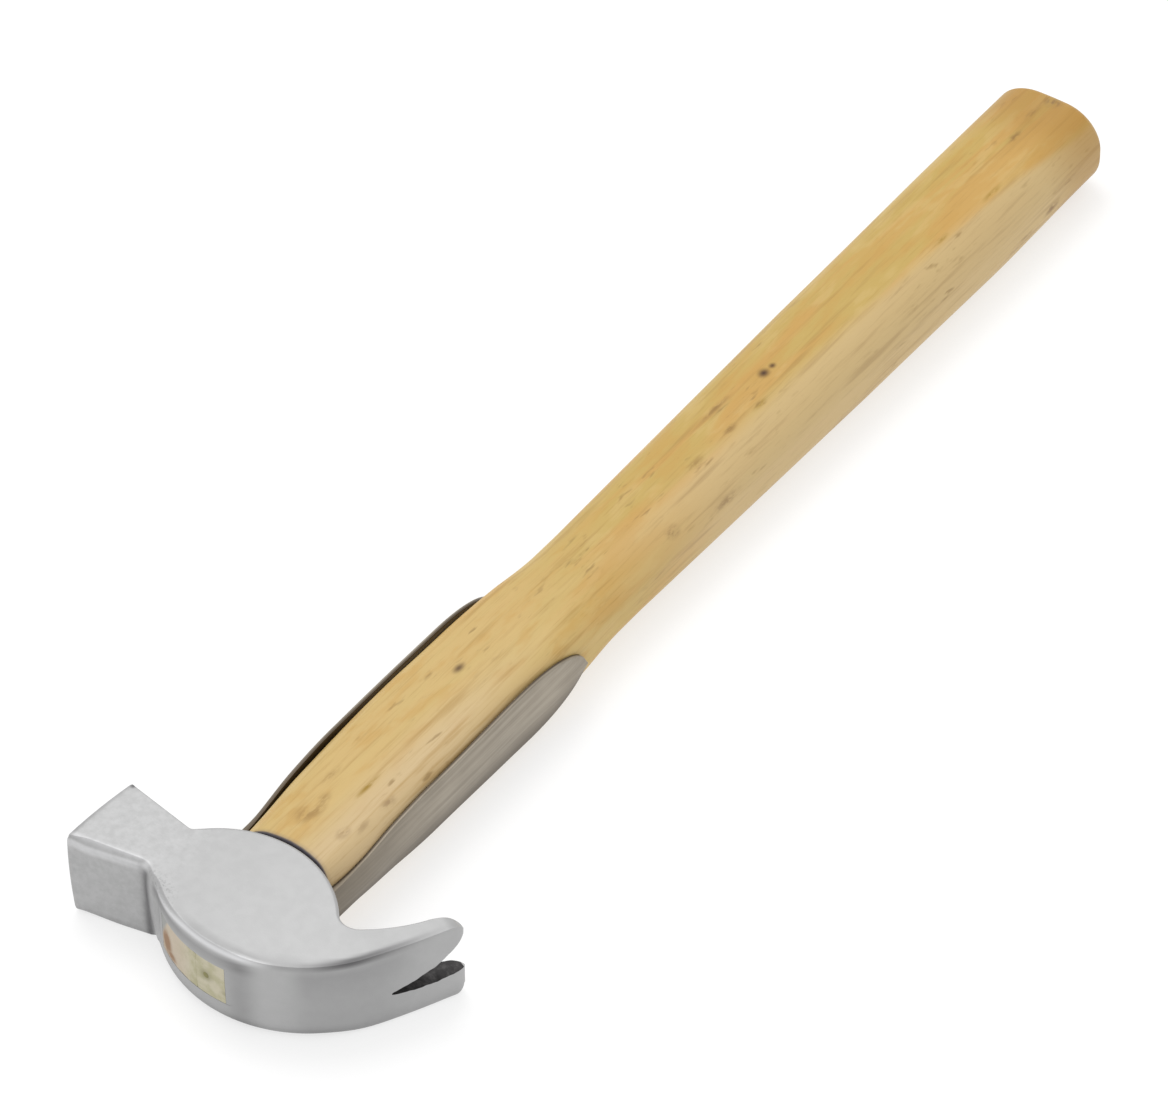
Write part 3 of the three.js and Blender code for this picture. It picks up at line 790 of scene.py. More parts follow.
@dataclass(frozen=True)
class EndGrain:
    """Ground end of the tenon: pale olive end grain with a rust streak beside one strap."""

    name: str = "end_grain"
    pale: Colour = paint(190, 183, 160)
    olive: Colour = paint(172, 167, 136)
    blush: Colour = paint(190, 174, 156)
    steel: Colour = paint(150, 151, 148)
    pore: Colour = paint(120, 112, 80)
    stains: tuple[Mark, ...] = (
        Mark((4.9, -18.8, 12.4), (2.8, 9.0, 2.8), 1.0, STAIN),
        Mark((10.2, -18.8, 9.4), (1.8, 9.0, 1.7), 0.6, STAIN),
    )
    rusts: tuple[Mark, ...] = (
        Mark((-10.0, -14.0, 10.3), (3.3, 9.0, 5.6), 1.0, RUST),
        Mark((-8.0, -15.2, 7.6), (3.2, 8.0, 2.2), 0.7, RUST),
    )
    roughness: float = 0.6

    def material(self) -> Material:
        """Mix the node material: fine pores, pale to olive patches, and the rust.

        Returns:
            The finished material.
        """
        bench = Bench(self.name)
        patches = bench.ramp(bench.noise(260.0, 3.0, 0.6), 0.36, 0.66)
        pores = bench.ramp(bench.noise(2600.0, 2.0, 0.5), 0.6, 0.74, 0.0, 0.2)
        base = bench.blend(patches, self.pale, self.olive)
        across, _, height = bench.axes()
        base = bench.blend(bench.ramp(across, 1.5 * MM, -6.0 * MM, 0.0, 0.75), base, self.blush)
        base = bench.blend(pores, base, self.pore)
        stain = bench.largest(*map(bench.mark, self.stains))
        base = bench.blend(bench.times(stain, 0.75), base, STAIN)
        rust = bench.largest(*map(bench.mark, self.rusts))
        ragged = bench.ramp(bench.noise(700.0), 0.3, 0.6, 1.1, 1.6)
        rust = bench.math("MINIMUM", bench.times(rust, ragged), 0.85)
        base = bench.blend(rust, base, RUST)
        cut_off = bench.math("ADD", across, bench.times(bench.math("SUBTRACT", 17.5 * MM, height), 0.5))
        base = bench.blend(bench.ramp(cut_off, -8.6 * MM, -9.8 * MM), base, self.steel)
        bench.set(Base_Color=base, Roughness=self.roughness)
        bench.bump(bench.noise(1800.0, 3.0), 0.06, 0.5)
        return bench.material


@dataclass(frozen=True)
class Floor:
    """Plain pale floor, lit a little from beneath as a light table is, which keeps shadows faint."""

    name: str = "pale_floor"
    tone: Colour = paint(170, 170, 170)
    glow: float = 0.62

    def material(self) -> Material:
        """Mix the floor's plain material.

        Returns:
            The finished material.
        """
        bench = Bench(self.name)
        bench.set(Base_Color=self.tone, Roughness=0.9, Specular_IOR_Level=0.0)
        bench.set(Emission_Color=WHITE, Emission_Strength=self.glow)
        return bench.material


# The head


@dataclass
class DrivingHead:
    """The forged head: block and striking face, round body around the eye, and split claws.

    It is one skin: a rounded rectangle carried from the striking face to the tips of the claws,
    spanned at each station between a point of the crown's side and one of the handle's side. The
    eye and the nail slot are then taken out. claw_corner gives each outer corner's length and
    depth, slot_flares the depth and length of the mouth's lower and upper flare, slot_cut how far
    the slot's cutter reaches to either side of the claws' middle, and worn_inwards and
    worn_downwards the steps of the block's worn edge.
    """

    thickness: float = 23.6
    face_height: float = 22.5
    face_reach: float = 41.3
    face_rake: float = 1.7
    face_dome: float = 140.0
    face_round: float = 1.0
    neck_reach: float = 20.0
    neck_height: float = 15.2
    neck_fillet: float = 1.6
    belly_radius: float = 29.0
    belly_reach: float = 16.9
    belly_offset: float = 2.0
    crown_radius: float = 36.3
    crown_reach: float = 18.9
    crown_offset: float = 7.6
    crown_barrel: float = 0.2
    claw_break: float = math.radians(-30.0)
    claw_outer_radius: float = 200.0
    claw_outer_length: float = 21.3
    claw_root_thickness: float = 10.0
    claw_tip_thickness: float = 5.2
    claw_inner_radius: float = 40.0
    claw_root_fillet: float = 5.0
    claw_narrowing: dict[Cheek, float] = field(default_factory=lambda: {
        Cheek.UPPER: 0.6, Cheek.LOWER: 0.0,
    })
    claw_corner: dict[Cheek, tuple[float, float]] = field(default_factory=lambda: {
        Cheek.UPPER: (4.6, 2.6), Cheek.LOWER: (3.0, 2.4),
    })
    claw_slack: float = 2.6
    claw_slack_length: float = 7.0
    slot_length: float = 18.9
    slot_mouth: float = 8.6
    slot_mouth_offset: float = 1.1
    slot_apex_width: float = 0.8
    slot_apex_offset: float = -2.5
    slot_flares: tuple[tuple[float, float], ...] = ((0.4, 3.0), (2.4, 8.5))
    slot_bend: float = 0.9
    slot_cut: float = 8.0
    slot_roughness: float = 0.1
    eye_length_crown: float = 26.6
    eye_length_belly: float = 30.2
    eye_width: float = 11.5
    eye_offset_crown: float = -1.0
    eye_offset_belly: float = 0.8
    eye_corner: float = 1.2
    neck_swell: float = 2.4
    neck_swell_rise: float = 18.0
    face_lean: float = 1.6
    face_flare: float = 0.8
    worn_inset: float = 1.6
    worn_drop: float = 2.2
    worn_inwards: tuple[int, ...] = (0, 1, 4, 10, 18, 27, 40, 52, 62, 70, 80, 92, 100)
    worn_downwards: tuple[int, ...] = (100, 90, 78, 68, 60, 54, 49, 43, 36, 27, 15, 5, 0)
    stations: dict[str, int] = field(default_factory=lambda: {
        "block": 30, "fillet": 12, "body": 120, "claw": 64, "nose": 14,
    })

    def __post_init__(self) -> None:
        """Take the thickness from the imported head, and work the centres of the arcs out."""
        low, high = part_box("hammer_head")
        self.thickness = (high[2] - low[2]) / MM
        self.middle = (high[2] + low[2]) / 2.0 / MM
        self.taper = (self.face_height - self.neck_height) / 2.0 / (self.face_reach - self.neck_reach)
        self.crown_centre = np.array([self.crown_offset, self.crown_radius - self.crown_reach])
        self.belly_centre = np.array([self.belly_offset, self.belly_reach - self.belly_radius])
        self._claw()

    def _claw(self) -> None:
        """Work the claw's arcs out: the outer sweep, the tip and the inner sweep."""
        out = np.array([math.cos(self.claw_break), math.sin(self.claw_break)])
        outer_start = self.crown_centre + out * self.crown_radius
        self.outer_centre = outer_start - out * self.claw_outer_radius
        self.tip_angle = self.claw_break + self.claw_outer_length / self.claw_outer_radius
        tip_out = np.array([math.cos(self.tip_angle), math.sin(self.tip_angle)])
        self.tip_out = tip_out
        self.along = np.array([-tip_out[1], tip_out[0]])
        outer_tip = self.outer_centre + tip_out * self.claw_outer_radius
        inner_tip = outer_tip - tip_out * self.claw_tip_thickness
        inner_root = outer_start - out * self.claw_root_thickness
        radius = self.claw_inner_radius
        self.inner_centre = circles_meet(inner_root, radius, inner_tip, radius)
        self.inner_tip = inner_tip
        self.nose = (outer_tip + inner_tip) / 2.0
        self.tip_end = self.nose + self.along * self.claw_tip_thickness / 2.0

    def _neck(self, sign: int, centre: Array, radius: float) -> Pair:
        """Return the block's side and the fillet that runs from it into the round body.

        Args:
            sign: +1 on the handle's side, -1 on the crown's.
            centre: centre of the round body's arc.
            radius: its radius.

        Returns:
            Points along the straight side, and points along the fillet.
        """
        face = np.array([-self.face_reach + sign * self.face_rake / 2.0, sign * self.face_height / 2.0])
        neck = np.array([-self.neck_reach, sign * self.neck_height / 2.0])
        run = (neck - face) / np.hypot(*(neck - face))
        out = np.array([-run[1], run[0]]) * sign
        start = face + out * self.neck_fillet
        half = float((start - centre) @ run)
        reach = radius + self.neck_fillet
        travel = -half - math.sqrt(half**2 - float((start - centre) @ (start - centre)) + reach**2)
        hub = start + run * travel
        first = angle_to(hub, hub - out * self.neck_fillet)
        last = angle_to(hub, centre)
        last += 2.0 * math.pi * round((first - last) / (2.0 * math.pi))
        side = line(face, hub - out * self.neck_fillet, self.stations["block"])
        return side, arc(hub, self.neck_fillet, first, last, self.stations["fillet"])

    def crown_side(self) -> list[Array]:
        """Return the crown's side from the striking face to the nose, one chain for each stretch.

        Returns:
            The block's side, its fillet, the body, the claw and the nose.
        """
        side, fillet = self._neck(-1, self.crown_centre, self.crown_radius)
        start = angle_to(self.crown_centre, fillet[-1])
        start -= 2.0 * math.pi * (start > 0.0)
        body = arc(self.crown_centre, self.crown_radius, start, self.claw_break, self.stations["body"])
        first, last = self.claw_break, self.tip_angle
        claw = arc(self.outer_centre, self.claw_outer_radius, first, last, self.stations["claw"])
        half = self.claw_tip_thickness / 2.0
        nose = arc(self.nose, half, self.tip_angle, self.tip_angle + math.pi / 2.0, self.stations["nose"])
        return [side, fillet, body, claw, nose]

    def handle_side(self) -> list[Array]:
        """Return the handle's side from the striking face to the nose, matched to the crown's.

        Returns:
            The same five stretches with as many points each.
        """
        side, fillet = self._neck(1, self.belly_centre, self.belly_radius)
        radius, root_radius = self.claw_inner_radius, self.claw_root_fillet
        root = circles_meet(
            self.inner_centre, radius - root_radius, self.belly_centre, self.belly_radius + root_radius
        )
        start = angle_to(self.belly_centre, fillet[-1])
        meet = angle_to(self.belly_centre, root)
        turn = angle_to(root, self.belly_centre)
        leave = angle_to(self.inner_centre, root)
        leave += 2.0 * math.pi * round((turn + math.pi / 2.0 - leave) / (2.0 * math.pi))
        tip = angle_to(self.inner_centre, self.inner_tip)
        tip += 2.0 * math.pi * round((leave - tip) / (2.0 * math.pi))
        belly = np.vstack([
            arc(self.belly_centre, self.belly_radius, start, meet, 200),
            arc(root, root_radius, turn, leave, 40)[1:],
        ])
        claw = arc(self.inner_centre, radius, leave, tip, self.stations["claw"])
        half = self.claw_tip_thickness / 2.0
        end = self.tip_angle + math.pi / 2.0
        nose = arc(self.nose, half, end + math.pi / 2.0, end, self.stations["nose"])
        return [side, fillet, evened(belly, self.stations["body"]), claw, nose]

    def _chain(self, parts: list[Array]) -> Array:
        """Join stretches end to end, each one's last point being the next one's first."""
        return np.vstack([parts[0]] + [part[1:] for part in parts[1:]])

    def half_height(self, points: Array, cheek: Cheek) -> Array:
        """Return how far a cheek is from the head's middle at points: it closes in along the claws.

        It comes in along a straight line by the narrowing, and within the corner's length a of the
        tip it rounds off by a depth b: h - b + b * sqrt(1 - ((a - d) / a)^2), d from the end.

        Args:
            points: places in X and Y.
            cheek: which cheek.

        Returns:
            The half height at each place.
        """
        distance = np.clip((self.tip_end - points) @ self.along, 0.0, None)
        start = self.claw_outer_length + self.claw_tip_thickness / 2.0
        length, depth = self.claw_corner[cheek]
        share = np.clip((start - distance) / (start - length), 0.0, 1.0)
        straight = self.thickness / 2.0 - self.claw_narrowing[cheek] * share
        left = np.clip(1.0 - distance / length, 0.0, 1.0)
        rounded = straight - depth + depth * np.sqrt(1.0 - left**2)
        return np.where(points[..., 0] > 25.0, rounded, self.thickness / 2.0)

    def ground_rings(self, ring: Array, shares: tuple[float, ...], lift: float | Array) -> Array:
        """Return a ring shrunk towards its middle and laid on the crown, which closes a ground end.

        Args:
            ring: the first ring of what ends in the eye.
            shares: the sizes of the rings, from the middle outwards.
            lift: how far below the crown's surface they lie.

        Returns:
            The rings.
        """
        middle = ring.mean(axis=0)
        rings = middle + (ring - middle) * np.array(shares)[:, None, None]
        rings[..., 1] = self.crown_height(rings[..., 0], rings[..., 2]) + lift
        return rings

    def crown_height(self, across: Array, upward: Array) -> Array:
        """Return the Y of the crown's surface: centre - sqrt(radius^2 - x^2), barrelled along Z.

        Args:
            across: places along X.
            upward: heights above the head's middle.

        Returns:
            The Y at each place.
        """
        radius = self.crown_radius - self.barrel(upward / (self.thickness / 2.0))
        run = across - self.crown_centre[0]
        return self.crown_centre[1] - np.sqrt(radius**2 - run**2)

    def barrel(self, share: Array) -> Array:
        """Return how far the crown falls back at a share of the half thickness: barrel * share^2."""
        return self.crown_barrel * share**2

    def eye_half_length(self, along: Array) -> Array:
        """Return half of the eye's length, which grows evenly from the crown to the belly."""
        return mix(self.eye_length_crown, self.eye_length_belly, self._eye_share(along)) / 2.0

    def eye_centre(self, along: Array) -> Array:
        """Return the X of the eye's centre, which shifts evenly from the crown to the belly."""
        return mix(self.eye_offset_crown, self.eye_offset_belly, self._eye_share(along))

    def _eye_share(self, along: Array) -> Array:
        """Return how far a place along Y is from the crown, 0, to the belly, 1."""
        return (along + self.crown_reach) / (self.crown_reach + self.belly_reach)

    def edge_sizes(self, crown: Array, handle: Array) -> dict[tuple[int, Cheek], Pair]:
        """Return each long edge's inset on the cheek and on the wall, at every station.

        Args:
            crown: points of the crown's side.
            handle: points of the handle's side.

        Returns:
            The two insets for each side, -1 for the crown's and +1 for the handle's, and cheek.
        """
        x = crown[:, 0]
        crown_block = 1.0 - smooth(x, -20.5, -18.0)
        face_end = smooth(x, -self.face_reach - 0.9, -self.face_reach + 4.0)
        towards_claws = smooth(x, 8.0, 21.0)
        upper = mix(mix(1.0, 0.12, towards_claws), mix(0.9, self.worn_inset, face_end), crown_block)
        drop = mix(self.worn_drop, 1.5, smooth(x, -37.0, -22.0))
        upper_side = mix(mix(1.6, 0.15, towards_claws), mix(1.4, drop, face_end), crown_block)
        foot = mix(1.8, 0.7, smooth(x, -self.face_reach, -self.face_reach + 13.0))
        lower = mix(mix(2.6, 1.2, smooth(x, 31.0, 41.0)), foot, crown_block)
        handle_block = 1.0 - smooth(handle[:, 0], -20.0, -17.0)
        on_claws = smooth(handle[:, 0], 20.0, 34.0)
        belly = mix(mix(0.9, 0.45, on_claws), 0.45, handle_block)
        belly_low = mix(mix(1.9, 1.0, on_claws), 0.7, handle_block)
        return {
            (-1, Cheek.UPPER): (upper, upper_side),
            (-1, Cheek.LOWER): (lower, lower),
            (1, Cheek.UPPER): (belly, belly),
            (1, Cheek.LOWER): (belly_low, belly_low),
        }

    def edge_profile(self, side: int, cheek: Cheek, crown: Array) -> Pair:
        """Return how far an edge has come in from the wall and is still down from the cheek.

        Both run from 0 to 1 in shares of the edge's insets. An edge is a quarter of an ellipse,
        1 - cos t and 1 - sin t, but the block's upper edge on the crown's side is worn in two
        steps with a shelf between them, given in hundredths.

        Args:
            side: -1 for the crown's side, +1 for the handle's.
            cheek: which cheek it runs up to.
            crown: points of the crown's side, one for each station.

        Returns:
            Shares inwards and downwards, stations by places round the edge.
        """
        turn = np.linspace(0.0, math.pi / 2.0, 13)
        inwards = np.broadcast_to(1.0 - np.cos(turn), (len(crown), turn.size))
        downwards = np.broadcast_to(1.0 - np.sin(turn), (len(crown), turn.size))
        if side < 0 and cheek is Cheek.UPPER:
            stepped = 1.0 - smooth(crown[:, 0], -21.5, -18.5)[:, None]
            inwards = mix(inwards, np.array(self.worn_inwards) / 100.0, stepped)
            downwards = mix(downwards, np.array(self.worn_downwards) / 100.0, stepped)
        return inwards, downwards

    def skin(self) -> Array:
        """Return the head's skin as a grid of stations and ring points.

        At each station a is the crown's side point and b the handle's. The ring runs up the wall
        at a, round the upper edge, across the cheek by mixing a and b, and back the same way
        underneath. An edge of insets (i, j) goes through a - normal * i * inwards at a height of
        half - j * downwards.

        Returns:
            Stations by ring points by X, Y and Z.
        """
        crown_parts, handle_parts = self.crown_side(), self.handle_side()
        crown, handle = self._chain(crown_parts), self._chain(handle_parts)
        crown_out = self._chain([side_normals(part) for part in crown_parts])
        handle_out = -self._chain([side_normals(part) for part in handle_parts])
        tall = {
            (side, cheek): self.half_height(points, cheek)
            for side, points in ((-1, crown), (1, handle)) for cheek in Cheek
        }
        spread = np.hypot(*(crown - handle).T)
        sizes = self.edge_sizes(crown, handle)
        levels = np.sin(np.linspace(-0.5, 0.5, 13)[1:-1] * math.pi * 0.94) / math.sin(0.47 * math.pi)
        inner = np.sin(np.linspace(-0.46, 0.46, 14) * math.pi) / 2.0 + 0.5

        def fall(side: int, share: Array) -> Array:
            """Return how far a side falls back at a share of the half thickness: the crown's barrel."""
            full = self.barrel(share) * (side < 0) * (crown[:, :1] > -17.0)
            return np.minimum(full, spread[:, None] * 0.2)

        def laid(side: int, back: Array, height: Array) -> Pair:
            """Return places set back from a side, and their heights.

            Args:
                side: -1 for the crown's side, +1 for the handle's.
                back: how far they are set back.
                height: their heights from the head's middle.

            Returns:
                The places and the heights.
            """
            base, out = (crown, crown_out) if side < 0 else (handle, handle_out)
            places = base[:, None, :] - out[:, None, :] * back[..., None]
            return self._swollen(places, height, base) if side < 0 else places, height

        def edge(side: int, cheek: Cheek) -> Pair:
            """Return an edge from the wall to the cheek as places in the plan and heights.

            Args:
                side: -1 for the crown's side, +1 for the handle's.
                cheek: which cheek it runs up to.

            Returns:
                The places and the heights.
            """
            inset, drop = sizes[side, cheek]
            inset = np.minimum(inset, 0.42 * spread)[:, None]
            drop = np.minimum(drop, 2.5 * inset[:, 0] + 0.02)[:, None]
            inwards, downwards = self.edge_profile(side, cheek, crown)
            height = cheek.value * (tall[side, cheek][:, None] - drop * downwards)
            return laid(side, inset * inwards + fall(side, 1.0), height)

        def wall(side: int) -> Pair:
            """Return a wall between its two edges, from below to above.

            Args:
                side: -1 for the crown's side, +1 for the handle's.

            Returns:
                The places and the heights.
            """
            low, high = edge(side, Cheek.LOWER)[1][:, :1], edge(side, Cheek.UPPER)[1][:, :1]
            height = mix(low, high, (levels + 1.0)[None, :] / 2.0)
            return laid(side, fall(side, height / (self.thickness / 2.0)), height)

        def cheek_span(cheek: Cheek) -> Pair:
            """Return a cheek from the crown's side to the handle's by mixing the two edges' ends.

            Args:
                cheek: which cheek.

            Returns:
                The places and the heights.
            """
            first, first_height = edge(-1, cheek)
            last, last_height = edge(1, cheek)
            places = mix(first[:, -1:, :], last[:, -1:, :], inner[None, :, None])
            return places, mix(first_height[:, -1:], last_height[:, -1:], inner[None, :])

        def back_to_front(pair: Pair) -> Pair:
            """Return a stretch of the ring turned end for end."""
            return pair[0][:, ::-1], pair[1][:, ::-1]

        ring = [
            wall(-1), edge(-1, Cheek.UPPER), cheek_span(Cheek.UPPER), back_to_front(edge(1, Cheek.UPPER)),
            back_to_front(wall(1)), edge(1, Cheek.LOWER), back_to_front(cheek_span(Cheek.LOWER)),
            back_to_front(edge(-1, Cheek.LOWER)),
        ]
        places = np.concatenate([part[0] for part in ring], axis=1)
        heights = np.concatenate([part[1] for part in ring], axis=1)
        grid = np.concatenate([places, heights[..., None]], axis=2)
        grid = self._slackened(self._leaning(self._domed(self._faced(grid))))
        grid[..., 2] += self.middle
        return grid

    def _swollen(self, places: Array, height: Array, base: Array) -> Array:
        """Swell the crown's side of the neck: its crease bows along the block towards the face.

        Places move back along the block's side by swell * (1 - ((h - rise) / rise)^2) at a height h
        above the lower cheek, fading to nothing halfway along the block and before the eye.

        Args:
            places: places in X and Y.
            height: their heights from the head's middle.
            base: the crown's side at each station.

        Returns:
            The moved places.
        """
        run = np.array([1.0, self.taper])
        above = height + self.thickness / 2.0
        bow = 1.0 - ((above - self.neck_swell_rise) / self.neck_swell_rise) ** 2
        bow = np.clip(bow, 0.0, 1.0) * (1.0 - 0.3 * smooth(above, 19.0, 23.6))
        x = base[:, 0]
        share = smooth(x, -34.0, -20.0) * (1.0 - smooth(x, -19.5, -14.7))
        return places - run * (self.neck_swell * bow * share[:, None])[..., None]

    def _slackened(self, grid: Array) -> Array:
        """Round the prongs' tips off on the handle's side.

        Within the slack's length of the end a place moves towards the crown by
        slack * (1 - d / length)^2 * s, where s goes from 0 on the crown's side to 1 on the handle's.

        Args:
            grid: the head's skin.

        Returns:
            The skin with its tips rounded off.
        """
        distance = (self.tip_end - grid[..., :2]) @ self.along
        near = np.clip(1.0 - distance / self.claw_slack_length, 0.0, 1.0) ** 2 * (grid[..., 0] > 35.0)
        back = (self.nose - grid[..., :2]) @ self.tip_out / self.claw_tip_thickness + 0.5
        shift = self.claw_slack * near * np.clip(back, 0.0, 1.0)
        places = grid[..., :2] + shift[..., None] * self.tip_out
        return np.concatenate([places, grid[..., 2:]], axis=-1)

    def _leaning(self, grid: Array) -> Array:
        """Lean the striking face in at its foot, and flare the block's lower edge on the crown's side.

        Over the block a place moves in X by lean * (share below the middle) and in Y by
        -flare * (share below the top), both fading evenly to nothing at the neck.

        Args:
            grid: the head's skin.

        Returns:
            The skin with its block leant and flared.
        """
        x, y, z = grid[..., 0], grid[..., 1], grid[..., 2]
        fade = np.clip((-self.neck_reach - x) / (self.face_reach - self.neck_reach), 0.0, 1.0)
        below = 0.5 - z / self.thickness
        crown_share = np.clip(0.5 - y / self.face_height, 0.0, 1.0)
        leant = x + fade * self.face_lean * (below - 0.25)
        flared = y - fade * self.face_flare * below * crown_share
        return np.stack([leant, flared, z], axis=-1)

    def _faced(self, grid: Array) -> Array:
        """Close the first ring with the striking face.

        The ring is drawn in by r * (1 - sin t) while it moves out to the face by r * (1 - cos t),
        and the face itself is the last of those rings shrunk towards its centre.

        Args:
            grid: the head's skin, open at the face.

        Returns:
            The skin with the face's rings before it.
        """
        first = grid[0]
        centre = np.append((first[:, :2].max(axis=0) + first[:, :2].min(axis=0)) / 2.0, 0.0)
        half = np.abs(first - centre).max(axis=0)
        flat = self._drawn_in(first, centre, half, self.face_round)
        rings = [centre + (flat - centre) * share for share in (0.0, 0.25, 0.5, 0.75, 0.94)]
        for angle in np.linspace(0.0, math.pi / 2.0, 7)[:-1]:
            drawn = self._drawn_in(first, centre, half, self.face_round * (1.0 - math.sin(angle)))
            drawn[:, 0] += self.face_round * (1.0 - math.cos(angle))
            rings.append(drawn)
        kept = grid[1:].copy()
        last = self.stations["block"] - 2
        early = np.arange(len(kept))[:, None] < last
        end = kept[last, :, 0]
        share = (kept[..., 0] - first[:, 0]) / (end - first[:, 0])
        moved = mix(first[:, 0] + self.face_round, end, share)
        slope = (kept[last, :, 1] - first[:, 1]) / (end - first[:, 0])
        kept[..., 1] = np.where(early, kept[..., 1] + slope * (moved - kept[..., 0]), kept[..., 1])
        kept[..., 0] = np.where(early, moved, kept[..., 0])
        return np.concatenate([np.stack(rings), kept])

    def _drawn_in(self, ring: Array, centre: Array, half: Array, inset: float) -> Array:
        """Return a ring scaled about its centre so that it lies inset further in.

        Args:
            ring: the ring's places.
            centre: its centre.
            half: its half sizes.
            inset: how far it is drawn in.

        Returns:
            The drawn-in ring, laid on the raked face.
        """
        drawn = ring.copy()
        drawn[:, 1] = centre[1] + (ring[:, 1] - centre[1]) * (1.0 - inset / half[1])
        drawn[:, 2] = ring[:, 2] * (1.0 - inset / half[2])
        drawn[:, 0] = -self.face_reach + self.face_rake / self.face_height * drawn[:, 1]
        return drawn

    def _domed(self, grid: Array) -> Array:
        """Dome the striking face: x grows by (y^2 + z^2) / (2 * radius), fading out to the neck.

        The block tapers, so y is scaled by the ratio of the half heights at the two places.

        Args:
            grid: the head's skin.

        Returns:
            The skin with its face domed.
        """
        x, y, z = grid[..., 0], grid[..., 1], grid[..., 2]
        length = self.face_reach - self.neck_reach
        fade = np.clip((-self.neck_reach - 2.0 - x) / (length - 2.0), 0.0, 1.0)
        shift = fade * (y**2 + z**2) / (2.0 * self.face_dome)

        def half(place: Array) -> Array:
            """Return the block's half height along Y at a place along X."""
            return self.face_height / 2.0 - self.taper * (place + self.face_reach)

        scaled = np.where(fade > 0.0, y * half(x + shift) / half(x), y)
        return np.stack([x + shift, scaled, z], axis=-1)

    def eye_cutter(self) -> Piece:
        """Return the solid that the eye takes out: a tapered rounded rectangle along Y.

        Near the crown its rings follow the crown's own surface.

        Returns:
            The cutter.
        """
        template = ring_template(6, 6)
        depths = np.array([-3.0, 0.0, 2.0])
        nominal = -self.crown_reach + depths
        half_z, corner = np.full(3, self.eye_width / 2.0), np.full(3, self.eye_corner)
        x, z = ring_of(template, self.eye_half_length(nominal), half_z, corner)
        x += self.eye_centre(nominal)[:, None]
        y = self.crown_height(x, z) + depths[:, None]
        rings = [np.stack([x, y, z], axis=-1)]
        far = np.array([self.belly_reach + 4.0])
        x, z = ring_of(template, self.eye_half_length(far), half_z[:1], corner[:1])
        x += self.eye_centre(far)[:, None]
        rings.append(np.stack([x, np.full_like(x, far[0]), z], axis=-1))
        return lay_grid("eye_cutter", self._closed(np.concatenate(rings)))

    def _closed(self, grid: Array) -> Array:
        """Close a tube with a point in the middle of each end, and lift it to the head's middle.

        Args:
            grid: the tube's rings.

        Returns:
            The closed grid.
        """
        ends = [np.broadcast_to(grid[end].mean(axis=0), grid[end].shape)[None] for end in (0, -1)]
        closed = np.concatenate([ends[0], grid, ends[1]])
        closed[..., 2] += self.middle
        return closed

    def slot_edges(self, distance: Array) -> Pair:
        """Return the slot's lower and upper edge, along Z, at a distance back from the tips.

        Both run from the apex to the mouth and sag between by 4 * bend * s * (1 - s), with a
        little chiselled waviness. Within the apex's radius the slot closes as a circle, and
        within its flare's length each edge opens by depth * (1 - d / length)^2.

        Args:
            distance: distances back from the tips.

        Returns:
            The two edges' heights above the head's middle.
        """
        share = 1.0 - distance / self.slot_length
        half_apex = self.slot_apex_width / 2.0
        half_mouth = self.slot_mouth / 2.0
        low = mix(self.slot_apex_offset - half_apex, self.slot_mouth_offset - half_mouth, share)
        high = mix(self.slot_apex_offset + half_apex, self.slot_mouth_offset + half_mouth, share)
        sag = 4.0 * self.slot_bend * share * (1.0 - share)
        wave = self.slot_roughness * np.sin(math.pi * np.clip(share, 0.0, 1.0))
        low = low - sag + wave * (np.sin(1.3 * distance + 0.6) + 0.6 * np.sin(3.1 * distance))
        high = high - sag + wave * (np.sin(1.1 * distance + 2.1) + 0.6 * np.sin(2.7 * distance + 1.0))
        open_low, open_high = (
            depth * np.clip(1.0 - distance / length, 0.0, None) ** 2 for depth, length in self.slot_flares
        )
        past = np.clip((distance - self.slot_length) / half_apex, 0.0, 1.0)
        close = np.sqrt(1.0 - past**2)
        middle = (low + high) / 2.0
        return middle - (middle - low) * close - open_low, middle + (high - middle) * close + open_high

    def slot_cutter(self) -> Piece:
        """Return the solid that the nail slot takes out: a wedge run through the claws.

        Returns:
            The cutter.
        """
        apex = self.slot_length + self.slot_apex_width / 2.0 * np.sin(np.linspace(0.5, 0.0, 8) * math.pi)
        distance = np.concatenate([apex, np.linspace(self.slot_length, 0.0, 40)[1:], [-1.0, -3.0]])
        low, high = self.slot_edges(np.maximum(distance, 0.0))
        centre = self.tip_end - self.along * distance[:, None]
        centre = centre - self.tip_out * self.claw_tip_thickness / 2.0
        corners = [(1.0, low), (1.0, high), (-1.0, high), (-1.0, low)]
        rings = [
            np.column_stack([centre + self.tip_out * self.slot_cut * side, height])
            for side, height in corners
        ]
        return lay_grid("slot_cutter", self._closed(np.stack(rings, axis=1)))

    def slot_faces(self, mesh: Mesh) -> Array:
        """Return 1 for each face of the nail slot's walls, which face across the prongs, else 0.

        Args:
            mesh: the head's mesh.

        Returns:
            One number for each face.
        """
        count = len(mesh.polygons)
        centres, normals = np.empty(count * 3), np.empty(count * 3)
        mesh.polygons.foreach_get("center", centres)
        mesh.polygons.foreach_get("normal", normals)
        centres = centres.reshape(-1, 3) / MM - [0.0, 0.0, self.middle]
        distance = (self.tip_end - centres[:, :2]) @ self.along
        low, high = self.slot_edges(np.clip(distance, 0.0, self.slot_length))
        near = np.minimum(np.abs(centres[:, 2] - low), np.abs(centres[:, 2] - high)) < 0.3
        across = np.abs(normals.reshape(-1, 3) @ [self.tip_out[0], self.tip_out[1], 0.0]) < 0.3
        inside = (distance > 0.3) & (distance < self.slot_length + 1.0) & (centres[:, 0] > 30.0)
        return (near & across & inside).astype(np.int32)

